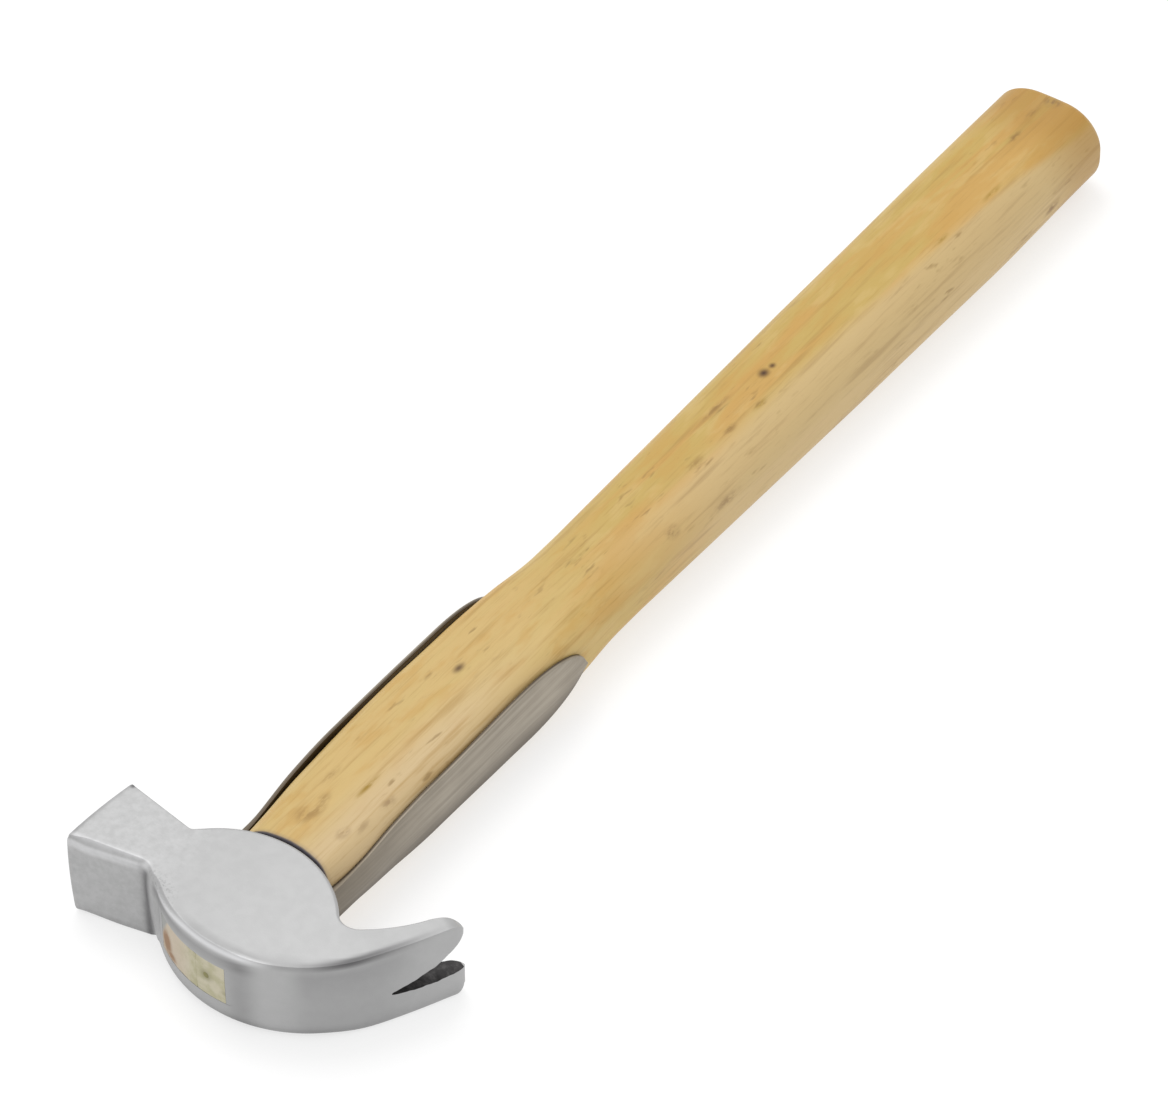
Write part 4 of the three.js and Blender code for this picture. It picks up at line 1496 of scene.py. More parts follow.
    def wear(self, places: Array) -> dict[str, Array]:
        """Return the painted shade, the painted highlights with a knocked corner, and how battered,
        uneven and pitted the steel is at each vertex.

        Every mark is a product of steps and bells of five measures: the place in X and Y, the
        height, how far out from the crown's arc it lies, and how far in from the block's side.

        Args:
            places: vertices in millimetres.

        Returns:
            The values under the names of their attributes.
        """
        x, y, z = places.T
        run = np.hypot(x - self.crown_centre[0], y - self.crown_centre[1]) - self.crown_radius
        sweep = np.hypot(x - self.outer_centre[0], y - self.outer_centre[1]) - self.claw_outer_radius
        run = np.where((x > 30.0) & (y > -0.9), sweep, run)
        inset = y + self.face_height / 2.0 - self.taper * (x + self.face_reach)
        high = smooth(z, self.thickness - 3.4, self.thickness - 2.6)
        on_block = 1.0 - smooth(x, -24.0, -20.0)
        # Painted shade: a dark shelf between the two edge highlights of the block's stepped edge, and
        # darker low down on the block.
        shelf = on_block * high * bell(inset, 0.8, 0.4) * 0.04
        block_low = on_block * (1.0 - smooth(z, 0.0, 3.0)) * 0.26
        shade_and_grime = [self._wall_shade(x, z, run), *self._shade_lines(x, y, z, run), shelf, block_low]
        # Painted highlights: two bright lines along the block's stepped edge, where its rounding catches
        # the light.
        lines = on_block * high * np.maximum(0.7 * bell(inset, 1.6, 0.6), bell(inset, 0.22, 0.3)) * 0.4
        knocked = bell(np.hypot(x + 21.0, y + 7.4), 0.0, 1.2) * high * 0.35
        edge = -y - self.face_height / 2.0 + 2.2
        battered = 0.7 * bell(x, -self.face_reach, 1.5)
        battered = battered + (1.0 - smooth(x, -40.0, -18.0)) * bell(edge, 0.0, 2.0)
        pitted = bell(x, -14.5, 5.5) * smooth(run, -6.0, -1.5) * (1.0 - smooth(y, -10.5, -5.0)) * high
        return {
            "shade_and_grime": np.max(shade_and_grime, axis=0),
            # The worn share is painted highlight, apart from the knocked corner.
            "worn": np.max([self._highlight_band(x, z, run), lines, knocked], axis=0),
            "battered": battered,
            "uneven": 1.0 - smooth(x, -22.0, -6.0),
            "pitted": pitted,
        }

    def _wall_shade(self, x: Array, z: Array, run: Array) -> Array:
        """Return the painted shade on the crown's wall.

        It is painted darker just past the eye, along the claws, below the painted highlight band and at
        its foot.

        Args:
            x: places along X.
            z: heights.
            run: distances out from the crown's arc.

        Returns:
            A share for each place.
        """
        top = self.thickness
        tone = 0.04 + 0.24 * bell(x, 14.3, 3.6) + 0.14 * smooth(x, 24.0, 30.0) - 0.06 * bell(x, 20.5, 3.0)
        tone = tone - 0.16 * smooth(x, 38.0, 47.0)
        below_band = bell(top - z, 3.6, 1.5) * (1.0 - smooth(x, 14.0, 20.0))
        below_band = below_band * mix(0.5, 0.3, smooth(x, -10.0, 0.0))
        rim = (1.0 - smooth(z, 1.0, 4.2)) * mix(0.34, 0.12, smooth(x, 30.0, 40.0))
        rim = rim + 0.12 * smooth(z, 11.0, 21.0) * smooth(x, 24.0, 29.0) * (1.0 - smooth(x, 41.0, 46.0))
        return self._on_wall(x, run) * smooth(top - z, 0.6, 2.6) * (tone + below_band + rim)

    def _shade_lines(self, x: Array, y: Array, z: Array, run: Array) -> list[Array]:
        """Return the dark lines of painted shade: in the neck's crease, under the claws' edge and inside
        the lip, and a darker line along the striking face.

        Args:
            x: places along X.
            y: places along Y.
            z: heights.
            run: distances out from the crown's arc.

        Returns:
            A share for each place, line by line.
        """
        top = self.thickness
        crease = bell(x, -20.6, 1.3) * smooth(-y, 4.5, 7.0) * smooth(top - z, 0.4, 2.5) * 0.75
        under = (0.24 + 0.64 * bell(x, 36.0, 6.0)) * smooth(x, 19.0, 25.0)
        under = under * (1.0 - 0.75 * smooth(x, 42.0, 48.0)) * bell(z, top - 0.3, 1.1)
        under = under * self._on_wall(x, run)
        lip = bell(run, -1.7, 0.9) * smooth(z, top - 0.9, top - 0.1) * (1.0 - smooth(x, 22.0, 30.0))
        lip = lip * smooth(x, -9.0, 3.0) * 0.26
        face_line = bell(x, -41.2, 0.7) * smooth(z, top - 2.0, top) * 0.2
        return [crease, under, lip, face_line]

    def _on_wall(self, x: Array, run: Array) -> Array:
        """Return 1 on the crown's wall past the neck, 0 inside it."""
        return smooth(run, -2.4, -1.0) * smooth(x, -18.5, -16.0)

    def _highlight_band(self, x: Array, z: Array, run: Array) -> Array:
        """Return the painted highlight band below the cheek's edge: it is deepest at the neck and ends at
        the claws.

        Args:
            x: places along X.
            z: heights.
            run: distances out from the crown's arc.

        Returns:
            A share for each place.
        """
        depth = mix(2.0, 0.6, smooth(x, -14.0, 0.0))
        band = bell(self.thickness - z, depth, 0.9) * smooth(run, -1.3, -0.5) * smooth(x, -17.0, -13.0)
        return band * (1.0 - smooth(x, 14.0, 23.0)) * 0.6

    def build(self) -> Piece:
        """Build the head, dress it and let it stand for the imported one.

        Returns:
            The head.
        """
        head = lay_grid("forged_head", self.skin())
        cut(head, [self.eye_cutter(), self.slot_cutter()])
        set_attributes(head.data, self.wear(vertex_places(head.data)))
        finishes = [SatinSteel().material(), ShadedSlotSteel().material()]
        give_finishes(head.data, finishes, self.slot_faces(head.data))
        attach(head, BODY)
        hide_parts("hammer_head")
        return head


# The straps


@dataclass
class SideStrap:
    """A steel strap: its end sits in the eye, and its tongue lies along the handle's side."""

    head: DrivingHead
    side: Side
    thickness: float = 1.9
    rim: float = 1.0
    spacing: float = 27.2
    offset: float = 0.45
    end_width: float = 9.5
    ground_width: float = 11.4
    root_width: float = 15.0
    tongue_width: float = 16.6
    tip_y: float = 117.0
    stagger: float = 3.3
    tongue_length: float = 22.0
    flare_length: float = 38.0
    bend_start: float = 12.0
    bend_length: float = 28.0
    edge: float = 0.3
    ground_edge: float = 1.15
    tip_lift: float = 0.5
    bow: dict[Side, float] = field(default_factory=lambda: {Side.FACE: 1.3, Side.CLAWS: 0.4})
    grind: float = 0.03
    bow_y: float = 62.0
    bow_reach: float = 42.0
    stations: int = 260

    @property
    def tip(self) -> float:
        """Return the Y where the tongue ends: the strap on the claws' side is a little shorter."""
        return self.tip_y - self.stagger * (self.side is Side.CLAWS)

    def inner_x(self, y: Array) -> Array:
        """Return the X of the strap's inner face: beside the eye's wall, then out to the spacing.

        Along the grip it bows out with the wood by bow * exp(-((y - middle) / reach)^2).

        Args:
            y: places along the handle.

        Returns:
            The X at each place.
        """
        side = self.side.value
        in_eye = side * (self.head.eye_half_length(y) - self.thickness) + self.head.eye_centre(y)
        beside = self.offset + side * self.spacing / 2.0
        step = smooth(y, self.bend_start, self.bend_start + self.bend_length)
        lift = self.tip_lift * smooth(y, self.tip - 1.5 * self.tongue_length, self.tip)
        lift = lift + self.bow[self.side] * np.exp(-(((y - self.bow_y) / self.bow_reach) ** 2)) * step
        return mix(in_eye, beside, step) + side * lift

    def half_width(self, y: Array) -> Array:
        """Return half the strap's width: a flare from the eye, a swell, and an oval tongue.

        Args:
            y: places along the handle.

        Returns:
            Half the width at each place.
        """
        start = self.head.belly_reach
        tongue = self.tip - self.tongue_length
        flare = smooth(y, start, start + self.flare_length)
        in_eye = smooth(y, -2.0, start)
        width = mix(mix(self.ground_width, self.end_width, in_eye), self.root_width, flare)
        swell = self.tongue_width - self.root_width
        width = width + swell * smooth(y, start + self.flare_length, tongue)
        past = np.clip((y - tongue) / self.tongue_length, 0.0, 1.0)
        return width / 2.0 * np.sqrt(1.0 - past**2)

    def build(self) -> Piece:
        """Build the strap as a rounded rectangle carried along the handle's side, and dress it.

        Its outer face is crowned: at a share s of the half width the thickness is
        t - (t - rim) * s^2, while the end in the eye stays flat. The first ring lies on the
        crown's surface and is closed by rings shrunk towards its middle.

        Returns:
            The strap.
        """
        side = self.side.value
        share = np.sin(np.linspace(0.0, 1.0, self.stations) * math.pi / 2.0)
        y = mix(-self.head.crown_reach, self.tip, share)
        half = self.half_width(y)
        corner = mix(self.ground_edge, self.edge, smooth(y, -2.0, self.head.belly_reach))
        corner = np.minimum(np.minimum(corner, self.thickness * 0.49), half * 0.45)
        template = ring_template(5, 11)
        thick = np.full_like(y, self.thickness / 2.0)
        outer = np.stack(ring_of(template, thick, half, corner))
        inner = np.stack(ring_of(template, thick, half, np.minimum(corner, 0.12)))
        across, upward = np.where(side * template[:, 0] > 0.0, outer, inner)
        crowned = smooth(y, self.bend_start, self.bend_start + self.bend_length / 2.0)
        reach = (upward / np.maximum(half, 0.05)[:, None]) ** 2 * crowned[:, None]
        thin = 1.0 - (1.0 - self.rim / self.thickness) * reach
        x = self.inner_x(y)[:, None] + side * (self.thickness / 2.0 + side * across) * thin
        grid = np.stack([x, np.broadcast_to(y[:, None], x.shape), upward], axis=-1)
        flush = self.head.crown_height(grid[..., 0], grid[..., 2]) + self.grind
        settle = 1.0 - smooth(y, -self.head.crown_reach, 4.0)
        grid[..., 1] += (flush + self.head.crown_reach) * settle[:, None]
        end = self.head.ground_rings(grid[0], (0.0, 0.5, 0.85, 0.97), self.grind)
        grid = np.concatenate([end, grid])
        grid[..., 2] += self.head.middle
        strap = lay_grid(f"{self.side.name.lower()}_side_strap_plate", grid)
        self._dress(strap)
        return strap

    def _dress(self, strap: Piece) -> None:
        """Give the strap its rolled steel, and its end in the eye the head's ground steel.

        Args:
            strap: the strap to dress.
        """
        mesh = strap.data
        places = vertex_places(mesh)
        set_attributes(mesh, {"shade": self.shade(places)} | self.head.wear(places))
        finishes = [StrapSteel().material(), bpy.data.materials[SatinSteel.name]]
        give_finishes(mesh, finishes, ground_faces(mesh, self.head, 0.12))
        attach(strap, BODY)
        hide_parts("face_side_strap" if self.side is Side.FACE else "claw_side_strap")

    def shade(self, places: Array) -> Array:
        """Return the painted shade on the strap: low down, at the head, along its rims and inside.

        Args:
            places: vertices in millimetres.

        Returns:
            A share for each vertex.
        """
        x, y, z = places.T
        height = (z - self.head.middle) / np.maximum(self.half_width(y), 1.0)
        low = smooth(-height, 0.1, 0.95)
        root = 1.0 - smooth(y, 18.0, 62.0)
        depth = self.side.value * (x - self.inner_x(y))
        plain = 0.15 if self.side is Side.CLAWS else mix(0.85, 0.2, smooth(y, 28.0, 75.0))
        rim = smooth(height, 0.93, 0.97) * mix(1.0, plain, smooth(depth, 0.3, 0.8))
        faded = 0.85 * smooth(y, 50.0, 80.0) * (self.side is Side.FACE)
        inside = (depth < 0.2) * smooth(y, 14.0, 18.0) * (1.0 - faded)
        return np.max([0.8 * low, 0.45 * root, rim, inside], axis=0)


def ground_faces(mesh: Mesh, head: DrivingHead, depth: float) -> Array:
    """Return 1 for each face that lies on the crown's surface, ground with the head, and 0 for others.

    Args:
        mesh: the piece's mesh.
        head: the head whose crown it ends in.
        depth: how far below the surface a face still counts.

    Returns:
        One number for each face.
    """
    centres = np.empty(len(mesh.polygons) * 3)
    mesh.polygons.foreach_get("center", centres)
    centres = centres.reshape(-1, 3) / MM
    surface = head.crown_height(np.clip(centres[:, 0], -20.0, 20.0), centres[:, 2] - head.middle)
    return (centres[:, 1] < surface + depth).astype(np.int32)


# The handle and what holds it in the eye


@dataclass
class Handle:
    """The wooden handle from its tenon, ground flush with the crown, to the domed butt."""

    head: DrivingHead
    strap: SideStrap
    end_y: float = 342.9
    grip_thickness: float = 20.0
    shoulder_gap: float = 1.7
    shoulder_round: float = 0.7
    waist_y: float = 140.0
    waist_width: float = 27.0
    waist_thickness: float = 18.8
    swell_y: float = 330.0
    swell_width: float = 31.2
    butt_round: float = 4.2
    butt_flat: float = 4.5
    ridge: tuple[tuple[float, float], ...] = (
        (0.0, 4.0), (77.0, 5.3), (111.0, 6.7), (141.0, 8.4), (170.0, 10.0), (195.0, 12.2),
    )
    ridge_fullness: tuple[tuple[float, float], ...] = (
        (235.0, 1.0), (265.0, 0.84), (295.0, 0.75), (312.0, 0.72),
    )
    strap_gap: float = 0.12
    fit: float = 0.03
    grind: float = 0.04
    play: float = 0.015
    sharp: float = 55.0
    stations: int = 320

    def shoulder_y(self, across: Array) -> Array:
        """Return the Y of the shoulder: centre + sqrt((belly's radius + gap)^2 - x^2).

        The gap closes up by a third towards the claws.

        Args:
            across: places along X.

        Returns:
            The Y at each place.
        """
        centre = self.head.belly_centre
        gap = self.shoulder_gap * (1.0 - 0.35 * smooth(across, 0.0, 12.0))
        return centre[1] + np.sqrt((self.head.belly_radius + gap) ** 2 - (across - centre[0]) ** 2)

    def ridge_x(self, y: Array) -> Array:
        """Return how far from the axis the ridge runs between the top's flat and the flank.

        The ridge's pairs give that distance at distances past the waist.

        Args:
            y: places along the handle.

        Returns:
            The distance at each place.
        """
        return np.interp(y - self.waist_y, *zip(*self.ridge))

    def tenon(self, y: Array) -> dict[str, Array]:
        """Return the tenon's sizes at each Y: a rounded rectangle that fills the eye.

        Args:
            y: places along the tenon.

        Returns:
            The section's sizes under their names.
        """
        head = self.head
        half_x = head.eye_half_length(y) - 2.0 * self.fit - self.strap.thickness
        half_z = np.full_like(half_x, head.eye_width / 2.0 - self.fit)
        return {
            "middle": head.eye_centre(y),
            "half_x": half_x,
            "half_z": half_z,
            "flat_x": half_x - 0.15,
            "flat_z": half_z - 0.15,
            "fullness": np.ones_like(half_x),
            "fuller": np.zeros_like(half_x),
            "fuller_left": np.zeros_like(half_x),
        }

    def shaft(self, y: Array) -> dict[str, Array]:
        """Return the shaft's sizes at each Y.

        Between the straps it fills the room they leave, past them it has the waist's width, and
        half sizes go by a quarter of a sine to the swell. flat_x and flat_z are the flats, and
        fullness below 1 leaves a ridge between the flat and the oval flank, gone at the butt.

        Args:
            y: places along the shaft.

        Returns:
            The section's sizes under their names.
        """
        strap = self.strap
        to_butt = smooth(y, 290.0, 338.0)
        to_waist = smooth(y, strap.tip_y - strap.tongue_length / 2.0, self.waist_y)
        rise = np.clip((y - self.waist_y) / (self.swell_y - self.waist_y), 0.0, 1.0)
        to_swell = np.sin(rise * math.pi / 2.0)
        half_x = mix(self.waist_width / 2.0, self.swell_width / 2.0, to_swell)
        thin = mix(self.grip_thickness, self.waist_thickness, to_waist)
        half_z = mix(thin, self.head.thickness, to_swell) / 2.0
        middle = strap.offset * (1.0 - smooth(y, 290.0, 335.0))
        straps = 1.0 - smooth(y, strap.tip_y - 2.0, strap.tip_y + 14.0)
        low = SideStrap(self.head, Side.FACE).inner_x(y) + self.strap_gap
        high = SideStrap(self.head, Side.CLAWS).inner_x(y) - self.strap_gap
        low = mix(middle - half_x, low, straps)
        high = mix(middle + half_x, high, straps)
        room = (high - low) / 2.0
        flat = np.where(y < self.waist_y, mix(0.45, 0.3, to_waist) * room, self.ridge_x(y))
        return {
            "middle": (high + low) / 2.0,
            "half_x": room,
            "half_z": half_z,
            "flat_x": mix(flat, self.butt_flat, to_butt),
            "flat_z": mix(mix(0.2, 0.25, to_waist), 0.12, to_swell) * half_z,
            "fullness": mix(np.interp(y, *zip(*self.ridge_fullness)), 1.0, to_butt),
            "fuller": 1.0 - smooth(y, 95.0, 130.0),
            "fuller_left": smooth(y, 25.0, 80.0) * (1.0 - smooth(y, 95.0, 130.0)),
        }

    def ring(self, sizes: dict[str, Array]) -> Pair:
        """Return the section's X and Z at every station.

        A quarter of it is the side's flat, an oval, and the top's flat. Along the oval an angle t
        runs to fullness * 90 degrees, across is (cos t - cos end) / (1 - cos end) of the way from
        the flat's end to the full width, and up is sin t / sin end of the rise. Between the straps
        the quarters are fuller.

        Args:
            sizes: the section's sizes, as tenon and shaft give them.

        Returns:
            X and Z, each of stations by ring points.
        """
        steps = np.linspace(0.0, 1.0, 19)
        top = sizes["fullness"][:, None] * math.pi / 2.0
        angle = steps * top
        across = (np.cos(angle) - np.cos(top)) / (1.0 - np.cos(top))
        up = np.sin(angle) / np.sin(top)
        half_x, half_z = sizes["half_x"][:, None], sizes["half_z"][:, None]

        def quarter(full: Array) -> Pair:
            """Return a quarter of the section, its flats grown by the share that is full.

            Args:
                full: 0 for the plain oval, 1 for the full one.

            Returns:
                The quarter's X and Z.
            """
            flat_x = mix(sizes["flat_x"][:, None], 0.66 * half_x, full)
            flat_z = mix(sizes["flat_z"][:, None], 0.5 * half_z, full)
            low = np.array([0.0, 0.5, 0.93])
            high = flat_x * (1.0 - np.array([0.06, 0.3, 0.6, 1.0]))
            x = np.concatenate([half_x + 0.0 * low, flat_x + (half_x - flat_x) * across, high], axis=1)
            rise = flat_z + (half_z - flat_z) * up
            z = np.concatenate([flat_z * low, rise, half_z + np.zeros(4)], axis=1)
            return x, z

        right_x, right_z = quarter(sizes["fuller"][:, None])
        left_x, left_z = quarter(sizes["fuller_left"][:, None])
        x = np.concatenate([right_x, -left_x[:, -2::-1], -left_x[:, 1:], right_x[:, -2:0:-1]], axis=1)
        z = np.concatenate([right_z, left_z[:, -2::-1], -left_z[:, 1:], -right_z[:, -2:0:-1]], axis=1)
        return x + sizes["middle"][:, None], z

    def build(self) -> Piece:
        """Build the handle as its section carried along Y, cut the kerf and the pin's hole.

        Returns:
            The handle.
        """
        tenon, shaft = self._tenon_rings(), self._shaft_rings()
        face = mix(tenon[-1], shaft[0], np.array([0.3, 0.65, 0.9])[:, None, None])
        face[..., 1] = self.shoulder_y(face[..., 0])
        end = self.head.ground_rings(tenon[0], (0.0, 0.2, 0.4, 0.6, 0.8, 0.97), self.grind)
        grid = np.concatenate([end, tenon, face, shaft, self._butt(shaft[-1])])
        grid[..., 2] += self.head.middle
        handle = lay_grid("wooden_handle", grid, self.sharp)
        fitting = EyeFittings(self.head)
        seats = [fitting.wedge_solid("kerf", self.play), fitting.pin_solid("pin_hole", self.play)]
        cut(handle, seats, self.sharp)
        self._dress(handle)
        return handle

    def _tenon_rings(self) -> Array:
        """Return the tenon's rings, the first on the crown's surface, the last on the shoulder's.

        Returns:
            Rings by points by X, Y and Z.
        """
        head = self.head
        y = np.linspace(-head.crown_reach, head.belly_reach, 24)
        x, z = self.ring(self.tenon(y))
        grid = np.stack([x, np.broadcast_to(y[:, None], x.shape), z], axis=-1)
        flush = head.crown_height(x, z) + self.grind
        settle = 1.0 - smooth(y, -head.crown_reach, 0.0)
        grid[..., 1] += (flush + head.crown_reach) * settle[:, None]
        rise = smooth(y, 4.0, head.belly_reach)
        grid[..., 1] += (self.shoulder_y(x) - head.belly_reach) * rise[:, None]
        return grid

    def _shaft_rings(self) -> Array:
        """Return the shaft's rings from the shoulder's rounded edge to the butt's.

        The edge is drawn in by r * (1 - sin t) while it runs on by r * (1 - cos t). Past it the
        rings straighten out: they carry the shoulder's curve on, fading evenly to nothing.

        Returns:
            Rings by points by X, Y and Z.
        """
        start = float(self.shoulder_y(np.array(self.strap.spacing / 2.0)))
        turn = np.linspace(0.0, math.pi / 2.0, 7)
        edge = self.shoulder_round * (1.0 - np.cos(turn))
        rest = np.linspace(start + self.shoulder_round, self.end_y - self.butt_round, self.stations)[1:]
        y = np.concatenate([start + edge, rest])
        inset = np.zeros_like(y)
        inset[:turn.size] = self.shoulder_round * (1.0 - np.sin(turn))
        sizes = self.shaft(y)
        x, z = self.ring(sizes)
        middle = sizes["middle"][:, None]
        x = middle + (x - middle) * (1.0 - inset[:, None] / (self.strap.spacing / 2.0))
        z = z * (1.0 - inset[:, None] / (self.grip_thickness / 2.0))
        curve = (self.shoulder_y(x) - start) * np.clip(1.0 - (y - start) / 30.0, 0.0, 1.0)[:, None]
        return np.stack([x, y[:, None] + curve, z], axis=-1)

    def _butt(self, ring: Array) -> Array:
        """Return the butt: its edge rounds over into a domed end.

        Ring by ring it is drawn in by r * (1 - cos t) and moves sin t of the way from the last
        section to the dome, end - 2 * ((x - 2) / half width)^2 - 0.9 * (z / half thickness)^2.

        Args:
            ring: the shaft's last ring.

        Returns:
            The rings that close it.
        """
        half_x, half_z = np.abs(ring[:, 0]).max(), np.abs(ring[:, 2]).max()

        def dome(places: Array) -> Array:
            """Return the dome's Y at places."""
            across = (places[:, 0] - 2.0) / half_x
            return self.end_y - 2.0 * across**2 - 0.9 * (places[:, 2] / half_z) ** 2

        rings = []
        for angle in np.linspace(0.0, math.pi / 2.0, 16)[1:]:
            inset = self.butt_round * (1.0 - math.cos(angle))
            drawn = ring * [1.0 - inset / half_x, 1.0, 1.0 - inset / half_z]
            drawn[:, 1] = mix(ring[:, 1], dome(drawn), math.sin(angle))
            rings.append(drawn)
        for share in (0.94, 0.75, 0.5, 0.25, 0.0):
            shrunk = rings[14] * [share, 1.0, share]
            shrunk[:, 1] = dome(shrunk)
            rings.append(shrunk)
        return np.stack(rings)

    def _dress(self, handle: Piece) -> None:
        """Give the handle its wood, its end grain, and as attributes the paler flanks, which are a
        painted sheen, and the painted shade at the shoulder.

        Args:
            handle: the handle to dress.
        """
        mesh = handle.data
        x, y, _ = vertex_places(mesh).T
        width = mix(3.2, 1.0, smooth(y, 190.0, 300.0))
        outside = np.maximum(x - self.ridge_x(y), -x - 13.0)
        past = y - self.shoulder_y(np.clip(x, -20.0, 20.0))
        set_attributes(mesh, {
            # Where the flanks' painted sheen lies.
            "flank": smooth(outside / width, -1.0, 1.3) * smooth(y, 120.0, 180.0),
            "grip": 1.0 - smooth(y, 95.0, 160.0),
            "blush": 0.8 * smooth(x, 0.0, 9.0) * (1.0 - smooth(y, 60.0, 115.0)),
            "handled": smooth(y, 312.0, 336.0),
            # Painted shade on the shoulder's face in the gap under the head.
            "shoulder_shade": 1.0 - smooth(past, 0.15, 0.9),
        })
        finishes = [PaleWood().material(), EndGrain().material()]
        give_finishes(mesh, finishes, ground_faces(mesh, self.head, 0.15))
        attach(handle, BODY)
        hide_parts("handle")


@dataclass
class EyeFittings:
    """The wedge and the pin that spread the tenon in the eye."""

    head: DrivingHead
    wedge_offset: float = 0.6
    wedge_top: float = 2.4
    wedge_toe: float = 0.9
    wedge_length: float = 20.0
    pin_offset: float = 4.9
    pin_rise: float = 0.6
    pin_diameter: float = 1.6
    pin_length: float = 16.0

    def wedge_solid(self, name: str, grow: float = 0.0) -> Piece:
        """Return the wedge, thick at the crown, grown where it makes its own kerf.

        Its half thickness falls evenly from the crown to the toe.

        Args:
            name: the new object's name.
            grow: how much larger it is on each side.

        Returns:
            The wedge's solid.
        """
        head = self.head
        template = ring_template(2, 5)
        depth = np.array([-2.0 if grow else 0.03, 0.6, 8.0, self.wedge_length])
        half_x = mix(self.wedge_top, self.wedge_toe, depth / self.wedge_length) / 2.0 + grow
        half_z = np.full(4, head.eye_width / 2.0 - 0.1 + 3.0 * (grow > 0.0))
        x, z = ring_of(template, half_x, half_z, np.full(4, 0.12))
        x += self.wedge_offset
        y = head.crown_height(x, z) + depth[:, None]
        return self._solid(name, np.stack([x, y, z], axis=-1))

    def pin_solid(self, name: str, grow: float = 0.0) -> Piece:
        """Return the round pin, grown where it makes its own hole.

        Args:
            name: the new object's name.
            grow: how much larger its radius is.

        Returns:
            The pin's solid.
        """
        head = self.head
        turn = np.linspace(0.0, 2.0 * math.pi, 33)[:-1]
        radius = self.pin_diameter / 2.0 + grow
        depth = np.array([-2.0 if grow else 0.02, 0.5, self.pin_length])[:, None]
        x = np.broadcast_to(self.pin_offset + radius * np.cos(turn), (3, turn.size))
        z = np.broadcast_to(self.pin_rise + radius * np.sin(turn), (3, turn.size))
        y = head.crown_height(x, z) + depth
        return self._solid(name, np.stack([x, y, z], axis=-1))

    def _solid(self, name: str, grid: Array) -> Piece:
        """Close a tube whose outer end follows the crown, and lay it down.

        Args:
            name: the new object's name.
            grid: the tube's rings, from the crown inwards.

        Returns:
            The solid.
        """
        lift = grid[0, :, 1] - self.head.crown_height(grid[0, :, 0], grid[0, :, 2])
        top = self.head.ground_rings(grid[0], (0.0, 0.6), lift)
        toe = np.broadcast_to(grid[-1].mean(axis=0), grid[-1].shape)[None]
        closed = np.concatenate([top, grid, toe])
        closed[..., 2] += self.head.middle
        return lay_grid(name, closed)

    def build(self) -> list[Piece]:
        """Build the wedge and the pin and dress them.

        Returns:
            The wedge and the pin.
        """
        tarnished = StrapSteel(
            "pin_steel", paint(136, 132, 84), paint(108, 104, 62), metallic=0.2, roughness=0.6
        )
        raw = EndGrain("wedge_grain", paint(186, 180, 154), paint(166, 161, 128))
        wedge = self.wedge_solid("wedge_of_the_eye")
        pin = self.pin_solid("pin_of_the_eye")
        wedge.data.materials.append(raw.material())
        pin.data.materials.append(tarnished.material())
        for piece, node, slot in ((wedge, "eye_wedge", "wedge_wood"), (pin, "eye_pin", "pin_steel")):
            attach(piece, BODY)
            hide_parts(node)
        return [wedge, pin]


# The studio


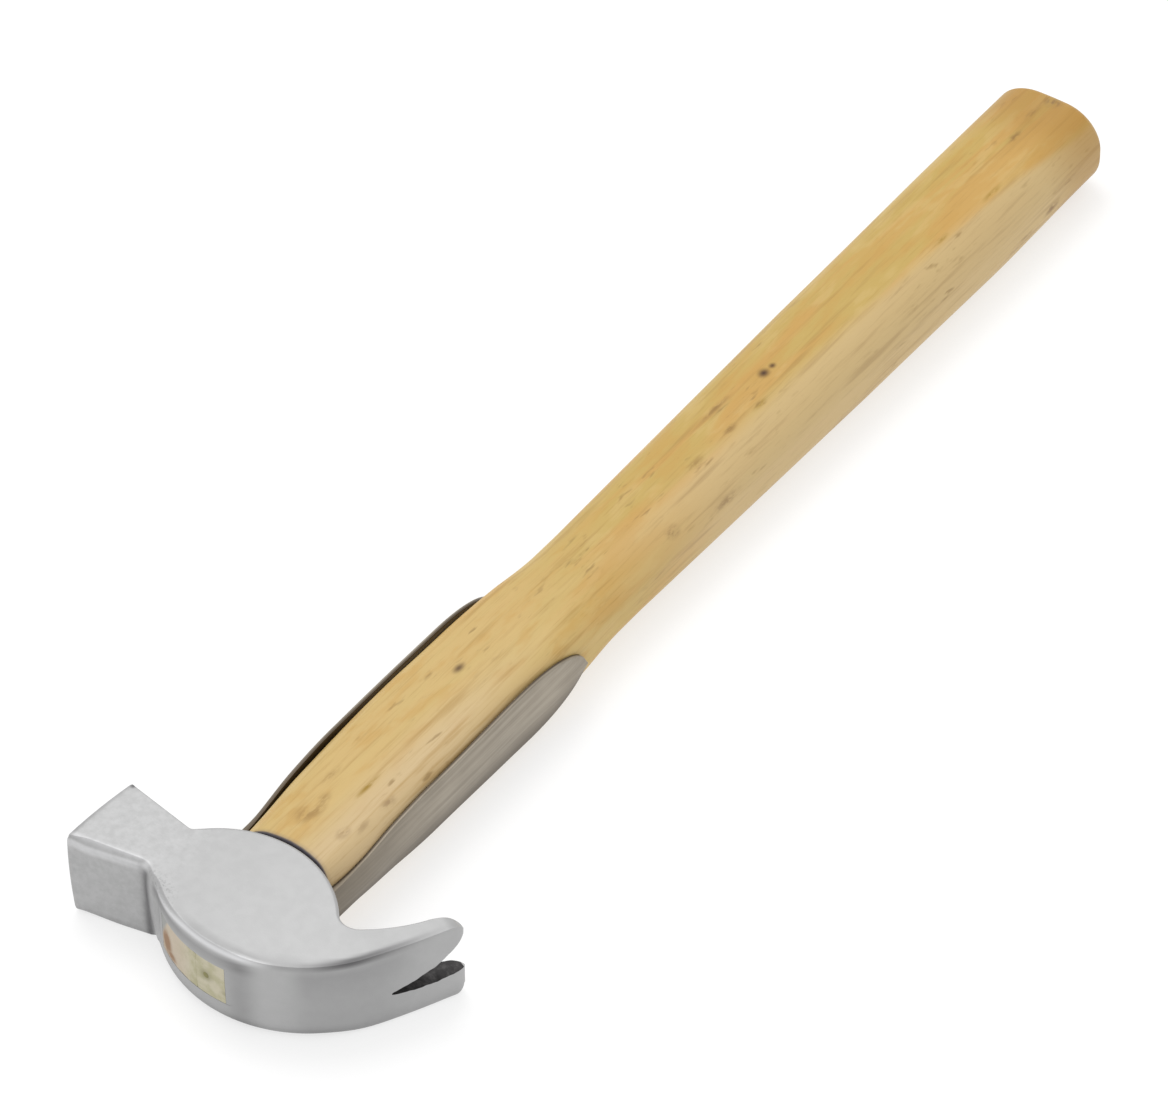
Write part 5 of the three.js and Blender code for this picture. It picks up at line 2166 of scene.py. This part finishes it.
@dataclass
class Studio:
    """Pale floor, soft light and the camera."""

    camera_place: Triple = (718.10, -837.15, 1186.07)
    camera_turn: Triple = (46.0365, 0.5744, 35.8988)
    picture_width: float = 1168.0
    focal_length: float = 7000.0
    sensor: float = 36.0
    floor_size: float = 6000.0
    sky: float = 0.92

    def build(self) -> None:
        """Set the camera, the floor and the light."""
        scene = bpy.context.scene
        scene.view_settings.view_transform = "Standard"
        data = bpy.data.cameras.new("camera")
        data.sensor_width = self.sensor
        data.lens = self.focal_length / self.picture_width * self.sensor
        data.clip_end = 50.0
        camera = bpy.data.objects.new("camera", data)
        camera.location = [value * MM for value in self.camera_place]
        camera.rotation_euler = Euler([math.radians(value) for value in self.camera_turn])
        scene.collection.objects.link(camera)
        scene.camera = camera
        self._floor()
        self._light()

    def _floor(self) -> None:
        """Lay a plain pale floor under the hammer."""
        half = self.floor_size / 2.0 * MM
        mesh = bpy.data.meshes.new("floor")
        corners = [(-half, -half, 0.0), (half, -half, 0.0), (half, half, 0.0), (-half, half, 0.0)]
        mesh.from_pydata(corners, [], [(0, 1, 2, 3)])
        mesh.materials.append(Floor().material())
        floor = bpy.data.objects.new("floor", mesh)
        floor.location.z = -0.00005
        bpy.context.scene.collection.objects.link(floor)

    def _light(self) -> None:
        """Light the room evenly, with one large soft box above and behind the handle."""
        world = bpy.data.worlds.new("studio")
        world.use_nodes = True
        background = world.node_tree.nodes["Background"]
        background.inputs["Color"].default_value = WHITE
        background.inputs["Strength"].default_value = self.sky
        bpy.context.scene.world = world
        self._soft_box("key", (-600.0, 500.0, 1500.0), 900.0, 9.0)

    def _soft_box(self, name: str, place: Triple, size: float, power: float) -> None:
        """Hang a square soft box that faces the head of the hammer.

        Args:
            name: the lamp's name.
            place: where it hangs.
            size: its side.
            power: its power in watts.
        """
        data = bpy.data.lights.new(name, "AREA")
        data.shape = "SQUARE"
        data.size = size * MM
        data.energy = power
        lamp = bpy.data.objects.new(name, data)
        lamp.location = [value * MM for value in place]
        towards = -lamp.location
        lamp.rotation_euler = towards.to_track_quat("-Z", "Y").to_euler()
        bpy.context.scene.collection.objects.link(lamp)


def main() -> None:
    """Build the hammer, piece by piece, and report each one."""
    logging.basicConfig(level=logging.INFO, format="%(name)s: %(message)s")
    Studio().build()
    head = DrivingHead()
    straps = {side: SideStrap(head, side) for side in Side}
    pieces = [head.build()]
    pieces += [strap.build() for strap in straps.values()]
    pieces.append(Handle(head, straps[Side.FACE]).build())
    pieces += EyeFittings(head).build()
    for piece in pieces:
        log.info("%s: %d faces", piece.name, len(piece.data.polygons))


if __name__ == "__main__":
    main()
